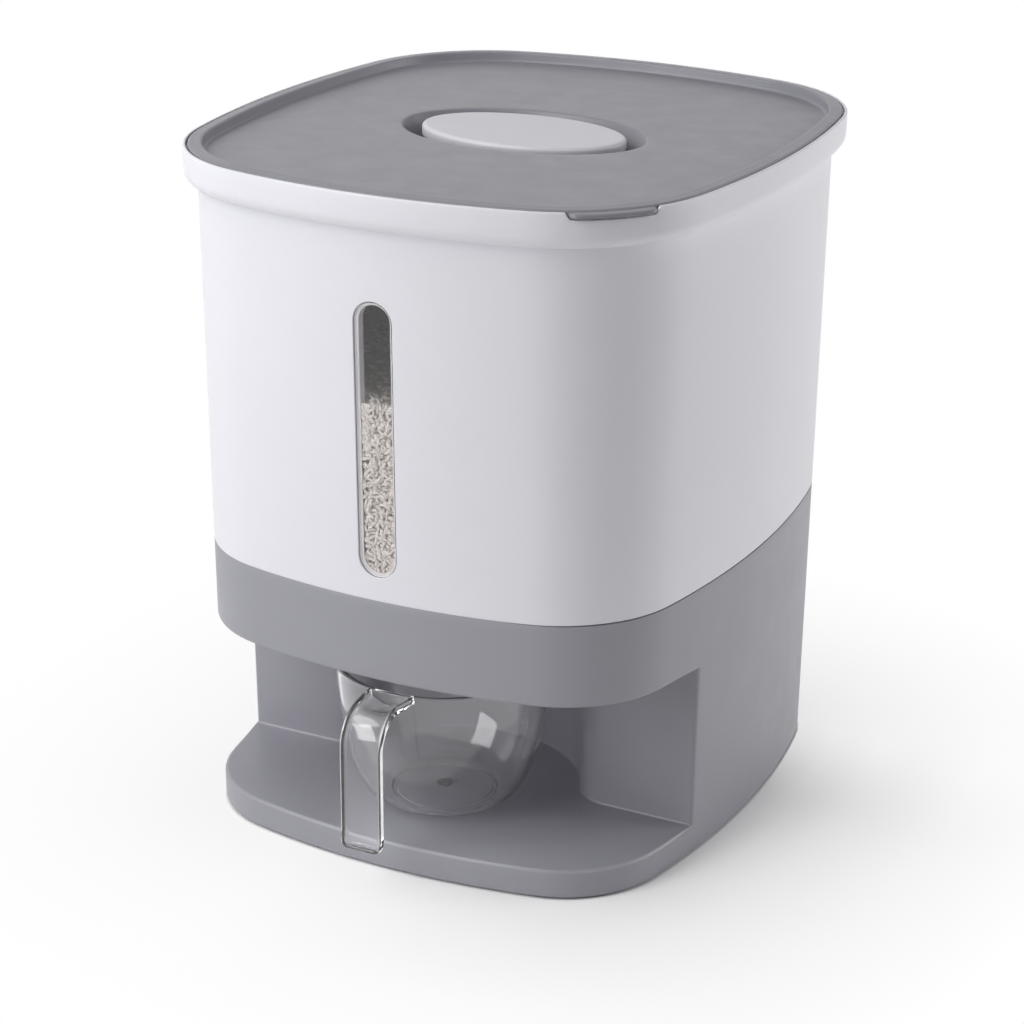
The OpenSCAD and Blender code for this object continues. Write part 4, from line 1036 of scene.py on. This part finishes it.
def bent(x, s, depth):
    """A flat handle point: x across, s along, depth below the outer face."""
    deep = WEB_SCOOP + ROOT_SCOOP * (1 - ease(s, 3, 20))
    scoop = deep * np.clip(1 - (x / SCOOP_HALF)**2, 0, 1)
    depth = depth + np.where(depth > 1.4, scoop, 0)
    x = x * (1 + ROOT_FLARE - ROOT_FLARE * ease(s, 0, 16))
    phi = np.clip((s - ROOT_RUN) / HANDLE_BEND, 0, math.pi / 2)
    reach = HANDLE_ROOT + np.minimum(s, ROOT_RUN) + (HANDLE_BEND - depth) * np.sin(phi)
    z = CUP_H - HANDLE_BEND + (HANDLE_BEND - depth) * np.cos(phi) - np.maximum(s - ROOT_RUN - BEND_RUN, 0)
    curl = END_CURL * np.maximum(s - HANDLE_LONG + CURL_RUN, 0)**2
    return np.stack([x, CUP_Y - reach - curl, CUP_Z + z], -1)


def edge_line(inset, runs=(46, 7, 8)):
    """A line beside the handle's edge, down the left side, round the end, up the right."""
    s = np.linspace(0, HANDLE_LONG - HANDLE_END_R, runs[0])
    left = np.stack([np.full(runs[0], inset - HANDLE_HALF), s], -1)
    centre = (HANDLE_END_R - HANDLE_HALF, HANDLE_LONG - HANDLE_END_R)
    turn = (centre + (HANDLE_END_R - inset) * arc_steps(runs[1], 180, 90))[1:]
    across = np.linspace(turn[-1, 0], 0, runs[2], endpoint=False)[1:]
    foot = np.stack([across, np.full(len(across), HANDLE_LONG - inset)], -1)
    half = np.concatenate([left, turn, foot])
    return np.concatenate([half, half[::-1] * (-1, 1)])


def handle_shape():
    """The channel's section is given as inset and depth, from the back of a rib round to the web."""
    back = (1.2, HANDLE_THICK - 1.2) + 1.2 * arc_steps(4, 90, 180)
    top = (1, 1) + arc_steps(8, 180, 0) * (1, -1)
    inner = (2.8, WEB_DEEP - 0.8) + 0.8 * arc_steps(4, 180, 90)
    section = [(WEB_IN, HANDLE_THICK), *back, *top, *inner, (WEB_IN, WEB_DEEP)]
    lines = [(edge_line(inset), depth) for inset, depth in section]
    rings = [bent(line[:, 0], line[:, 1], np.full(len(line), depth)) for line, depth in lines]
    parts = [(np.stack(rings), skin(rings, round_about=False))]
    ends = []
    for line, depth in (lines[-1], lines[0]):
        half = len(line) // 2
        left, right = line[:half], line[::-1][:half]
        rows = [mix(left, right, t) for t in np.linspace(0, 1, 11)]
        rungs = [bent(row[:, 0], row[:, 1], np.full(half, depth)) for row in rows]
        parts.append((np.stack(rungs), skin(rungs, round_about=False)))
        last = np.array([rung[-1] for rung in rungs])
        if not np.allclose(last[0], last[-1]):
            parts.append((last, [tuple(range(len(last)))]))
        ends.append([rung[0] for rung in rungs])
    loop = [ring[0] for ring in rings] + ends[0][1:-1] + [ring[-1] for ring in rings[::-1]] + ends[1][-2:0:-1]
    parts.append((np.array(loop), [tuple(range(len(loop)))]))
    return joined(parts)


cup_mesh = carve("measuring_cup", *bowl_shape(), [handle_shape()], "UNION", math.radians(30))
place("measuring_cup", cup_mesh, "cup", "clear_plastic", CUP_CLEAR, "measuring_cup")

# %% [markdown]
# ## The valve under the bin
#
# The valve's plates are flat mouldings that keep their CAD form. A small bevel rounds
# their edges, as a mould has no knife edges. The two springs are wound as real coils.

# %% Valve pieces
KEPT = {
    "hopper": (HOPPER_WHITE, 0), "hopper_gasket": (SOFT_SEAL, 0), "valve_body": (VALVE_WHITE, 0.3),
    "outlet_seal": (SOFT_SEAL, 0.15), "shutter": (SHUTTER_PALE, 0.3), "pusher": (PUSHER_GREY, 0.3),
    "valve_cover": (VALVE_WHITE, 0.3),
}
for name, (finish, rounding) in KEPT.items():
    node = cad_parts[name]
    node.data.materials.clear()
    node.data.materials.append(finish)
    smooth_by_angle(node.data)
    if rounding:
        bevel = node.modifiers.new("moulded_edge", "BEVEL")
        bevel.width, bevel.segments = rounding * MM, 2
        bevel.limit_method, bevel.angle_limit = "ANGLE", math.radians(50)
    print(name, "keeps its CAD form")

spring_low, spring_high, spring_size = box_of("return_springs")
SPRING_LEN, SPRING_R, SPRING_WIRE, SPRING_TURNS = spring_size[1], spring_size[2] / 2, 0.9, 11
SPRING_X, SPRING_Y, SPRING_Z = spring_high[0] - SPRING_R, spring_low[1] - MIDDLE[1], spring_low[2] + SPRING_R


def coil(x):
    """A wound spring with closed ends."""
    thick, flat = SPRING_WIRE / 2, 1.2 * SPRING_WIRE
    u = np.linspace(0, SPRING_TURNS, SPRING_TURNS * 20 + 1)
    marks = [thick, thick + flat, SPRING_LEN - thick - flat, SPRING_LEN - thick]
    y = np.interp(u, [0, 1, SPRING_TURNS - 1, SPRING_TURNS], marks)
    b = np.radians(np.arange(10) * 36)[:, None]
    rings = []
    for angle, along in zip(2 * math.pi * u, y):
        out = np.array([math.cos(angle), 0, math.sin(angle)])
        centre = np.array([x, SPRING_Y + along, SPRING_Z]) + (SPRING_R - thick) * out
        rings.append(centre + thick * (np.cos(b) * out + np.sin(b) * np.array([0, 1, 0])))
    return solid(rings)


springs = place(
    "return_springs", mesh_of("return_springs", *joined([coil(-SPRING_X), coil(SPRING_X)])),
    "housing", "spring_steel", SPRING_STEEL, "return_springs",
)
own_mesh(springs)

# %% [markdown]
# ## The rice
#
# Rice shows in the window, and above it the dim top of the heap. Grains are small
# spindles, each with its own size and tilt, drawn from a seeded generator. Behind the
# window they lie in a slab as deep as the slot; on the heap's top they lie flat. The body
# of the heap, which nobody sees, is one closed skin with grain-sized bumps.

# %% Rice finish
def rice_finish():
    finish, tree, shader = new_finish("rice", IOR=1.4)
    each = tree.nodes.new("ShaderNodeNewGeometry").outputs["Random Per Island"]
    colour = tones(tree, each, (0.56, 0.50, 0.46), (0.84, 0.81, 0.79), 0.0, 0.16)
    gloss = between(tree, noise(tree, 900, 3), 0.32, 0.5)
    wire(tree, shader, colour, gloss, relief(tree, noise(tree, 1600, 2), 0.05, 0.6))
    return finish


RICE = rice_finish()
RICE_Z, FULL_TURN = 238.0, 6.28
GRAIN_SIZE = ((2.0, 0.3), (0.85, 0.08), (0.78, 0.06))
draw = np.random.default_rng(11)
print("rice stands up to", RICE_Z, "mm above the table")


def grains(centres, flat_axis, tilt):
    """Spindles at these centres, flat against the plane across flat_axis within tilt degrees."""
    a = np.radians(np.arange(6) * 60)
    profile = [(0.02 if abs(k) == 1 else math.sqrt(1 - k * k * 0.96), k) for k in np.linspace(-1, 1, 5)]
    shape, face = solid([around(r, a, k)[:, [2, 0, 1]] for r, k in profile])
    parts = []
    for centre in centres:
        size = np.array([draw.normal(*spread) for spread in GRAIN_SIZE])
        lean = Matrix.Rotation(math.radians(draw.normal(0, tilt)), 3, "Y")
        lean = lean @ Matrix.Rotation(draw.uniform(0, FULL_TURN), 3, "X")
        spin = Matrix.Rotation(draw.uniform(0, FULL_TURN), 3, "Z") @ lean
        if flat_axis == "Y":
            spin = Matrix.Rotation(math.pi / 2, 3, "X") @ spin
        parts.append(((shape * size) @ np.array(spin).T + centre, face))
    return parts


# %% Grains in the window
GRAIN_LAYERS, GRAIN_ROW, GRAIN_COLUMN, GRAIN_STRAY = (3.4, 4.6, 6.0, 7.4), 2.1, 2.0, 1.2
FRAME_IN, NEAREST_GRAIN = 2.1, 2.3


def window_grains():
    centres = []
    for depth in GRAIN_LAYERS:
        for z in np.arange(SLOT_LOW + 3, RICE_Z - 1, GRAIN_ROW):
            for x in np.arange(-9.0, 9.1, GRAIN_COLUMN):
                px, pz = (v + draw.uniform(-GRAIN_STRAY, GRAIN_STRAY) for v in (x, z))
                centres.append(front_point(np.array(px), np.array(pz), depth + draw.uniform(-0.4, 0.4)))
    kept = []
    for points, face in grains(centres, "Y", 24):
        x, z = points[:, 0], points[:, 2]
        end = np.clip(z, *SLOT_ENDS)
        off = np.maximum(np.hypot(x, z - end), 1e-6)
        pull = np.minimum(1, (SLOT_R - FRAME_IN) / off)
        x, z = x * pull, end + (z - end) * pull
        nearest = front_point(x, z, NEAREST_GRAIN)[:, 1]
        kept.append((np.stack([x, np.maximum(points[:, 1], nearest), z], -1), face))
    return kept


# %% The heap
OUTLET_X, OUTLET_Y, OUTLET_SIZE, HEAP_HALF = 0, -74, (34, 13), (128, 145)


def heap_top(x, y):
    """Height of the heap's top: a low mound with ripples."""
    ripple = 1.1 * np.sin(x / 17 + 1.3) * np.cos(y / 23) + 0.7 * np.sin(x / 7.3 + y / 9.1)
    return RICE_Z + ripple + 5 * ease(np.hypot(x, y + 150), 20, 160)


def heap_rings():
    turns = np.arange(-90, 270, 2.0)
    near = 1 - ease(np.abs(turns + 90), 5.5, 9)
    inset = -3.2 - 5.6 * near
    rings = [oval(*OUTLET_SIZE, z, turns) + (OUTLET_X, OUTLET_Y, 0) for z in (109.0, 115.0)]
    rings += [outline(z, inset if z > 200 else inset - 16, turns) for z in (200.0, 215.0, 228.0)]
    edge = outline(RICE_Z, inset, turns)
    for share in (1.0, 0.93, 0.8, 0.6, 0.4, 0.2, 0.05):
        ring = edge * (share, share, 1)
        ring[:, 2] = heap_top(ring[:, 0], ring[:, 1]) - 1.2
        rings.append(ring)
    return rings


def top_grains(count=4200):
    centres = []
    while len(centres) < count:
        x, y = (draw.uniform(-half, half) for half in HEAP_HALF)
        limit = outline(RICE_Z, -6.5, [math.degrees(math.atan2(y, x))])[0]
        if np.hypot(x, y) < np.hypot(*limit[:2]) and (y > -139 or abs(x) > 12):
            centres.append(np.array([x, y, heap_top(x, y) - draw.uniform(-0.2, 1.0)]))
    return grains(centres, "Z", 12)


rice_parts = [solid(heap_rings()), *window_grains(), *top_grains()]
place("rice", mesh_of("rice", *joined(rice_parts), merge=0.0001), "housing", "hopper_white", RICE)

# %% [markdown]
# ## The studio
#
# The part stands on a pale floor that runs out into white. A large soft box lights it
# from the front left, one from high above and one from behind on the right, with a weak
# one at the left, so that the front right corner falls a little darker. The floor keeps
# the part's shadow near by. Away from it the floor has a painted white glow that grows
# with distance and paints the shadow lighter, sooner behind it and at its left.

# %% Floor
def combined(tree, operation, first, second):
    node = tree.nodes.new("ShaderNodeMath")
    node.operation = operation
    tree.links.new(first, node.inputs[0])
    tree.links.new(second, node.inputs[1])
    return node.outputs[0]


def seen_white(tree):
    """1 for what the camera sees, straight or in a reflection or through clear plastic."""
    path = tree.nodes.new("ShaderNodeLightPath").outputs
    seen = combined(tree, "MAXIMUM", path["Is Camera Ray"], path["Is Glossy Ray"])
    return combined(tree, "MAXIMUM", seen, path["Is Transmission Ray"])


def floor_finish():
    finish, tree, shader = new_finish("floor", Roughness=0.6, Specular_IOR_Level=0.2)
    tone = tones(tree, noise(tree, 5, 3), (0.93, 0.93, 0.93), (0.95, 0.95, 0.95))
    tree.links.new(tone, shader.inputs["Base Color"])
    # The white glow mixed in here is painted light on the floor, by each point's share.
    fade = tree.nodes.new("ShaderNodeAttribute")
    fade.attribute_name = "fade"
    share = combined(tree, "MULTIPLY", fade.outputs["Fac"], seen_white(tree))
    glow = tree.nodes.new("ShaderNodeEmission").outputs["Emission"]
    blended(tree, share, shader.outputs["BSDF"], glow)
    return finish


# Share of painted white glow by distance from the base's foot, in mm: it paints the part's shadow lighter as
# it runs out.
FLOOR_FADE = {-30: 0, 0: 0, 0.8: 0.16, 20: 0.37, 45: 0.55, 100: 0.8, 170: 1, 3800: 1}
FADE_BEHIND, FADE_LEFT, FADE_FRONT = (10, 110), (-60, 60), (170, 260)
GLOW_LIFT_BEHIND, GLOW_LIFT_FRONT = 0.65, 0.4


def floor_mesh():
    """Rings around the base's foot. Each point carries its share of painted white glow, which lightens the
    floor's shadow.
    """
    rings = [outline(0, grow, np.arange(0, 360, 3.0)) for grow in FLOOR_FADE]
    points, faces = np.concatenate(rings), skin(rings)
    faces.append(tuple(range(len(rings[0]))))
    x, y = points[:, 0], points[:, 1]
    # Painted light: the glow's share is raised behind and to the left of the part and far in front, which
    # paints its shadow lighter there.
    shadow_lift = GLOW_LIFT_BEHIND * np.maximum(ease(y, *FADE_BEHIND), ease(-x, *FADE_LEFT))
    shadow_lift = np.maximum(shadow_lift, GLOW_LIFT_FRONT * ease(-y, *FADE_FRONT))
    fade = np.repeat([float(share) for share in FLOOR_FADE.values()], len(rings[0]))
    fade = np.where(fade > 0, mix(fade, 1, shadow_lift), 0)
    mesh = mesh_of("floor", points * (1, 1, 0), faces)
    mesh.attributes.new("fade", "FLOAT", "POINT").data.foreach_set("value", fade.astype(np.float32))
    mesh.materials.append(floor_finish())
    return mesh


add_object("floor", floor_mesh())

# %% Soft boxes
# Turn and rise in degrees, distance and size in metres, power in watts.
LAMPS = {
    "key": (-30, 28, 1.7, (0.85, 1.5), 17.3),
    "overhead": (-50, 60, 1.7, (1.0, 1.0), 10.0),
    "side": (-75, 22, 1.7, (0.4, 1.4), 1.0),
    "rim": (118, 15, 1.7, (1.0, 1.0), 12.5),
}
AIM = Vector((0, 0, 0.16))


def soft_box(name, turn, rise, far, size, watts):
    """A lamp that faces the part, turned from straight in front and raised by so many degrees."""
    lamp = bpy.data.lights.new(name, "AREA")
    lamp.shape, lamp.energy = "RECTANGLE", watts
    lamp.size, lamp.size_y = size
    a, e = math.radians(turn), math.radians(rise)
    out = Vector((math.sin(a) * math.cos(e), -math.cos(a) * math.cos(e), math.sin(e)))
    obj = add_object(name, lamp)
    obj.location = AIM + out * far
    obj.rotation_mode = "QUATERNION"
    obj.rotation_quaternion = out.to_track_quat("Z", "Y")


for name, (turn, rise, far, size, watts) in LAMPS.items():
    soft_box(name, turn, rise, far, size, watts)
print("soft boxes:", ", ".join(LAMPS))

# %% World
WORLD_LEVEL = 0.03
world = bpy.data.worlds.new("studio")
scene.world = world
world.use_nodes = True
tree = world.node_tree
room = tree.nodes["Background"]
room.inputs["Color"].default_value = (WORLD_LEVEL, WORLD_LEVEL, WORLD_LEVEL * 1.03, 1)
white = tree.nodes.new("ShaderNodeBackground")
white.inputs["Color"].default_value = (1, 1, 1, 1)
blended(tree, seen_white(tree), room.outputs[0], white.outputs[0], "World Output")
scene.view_settings.view_transform = "Standard"
print("world level:", WORLD_LEVEL)
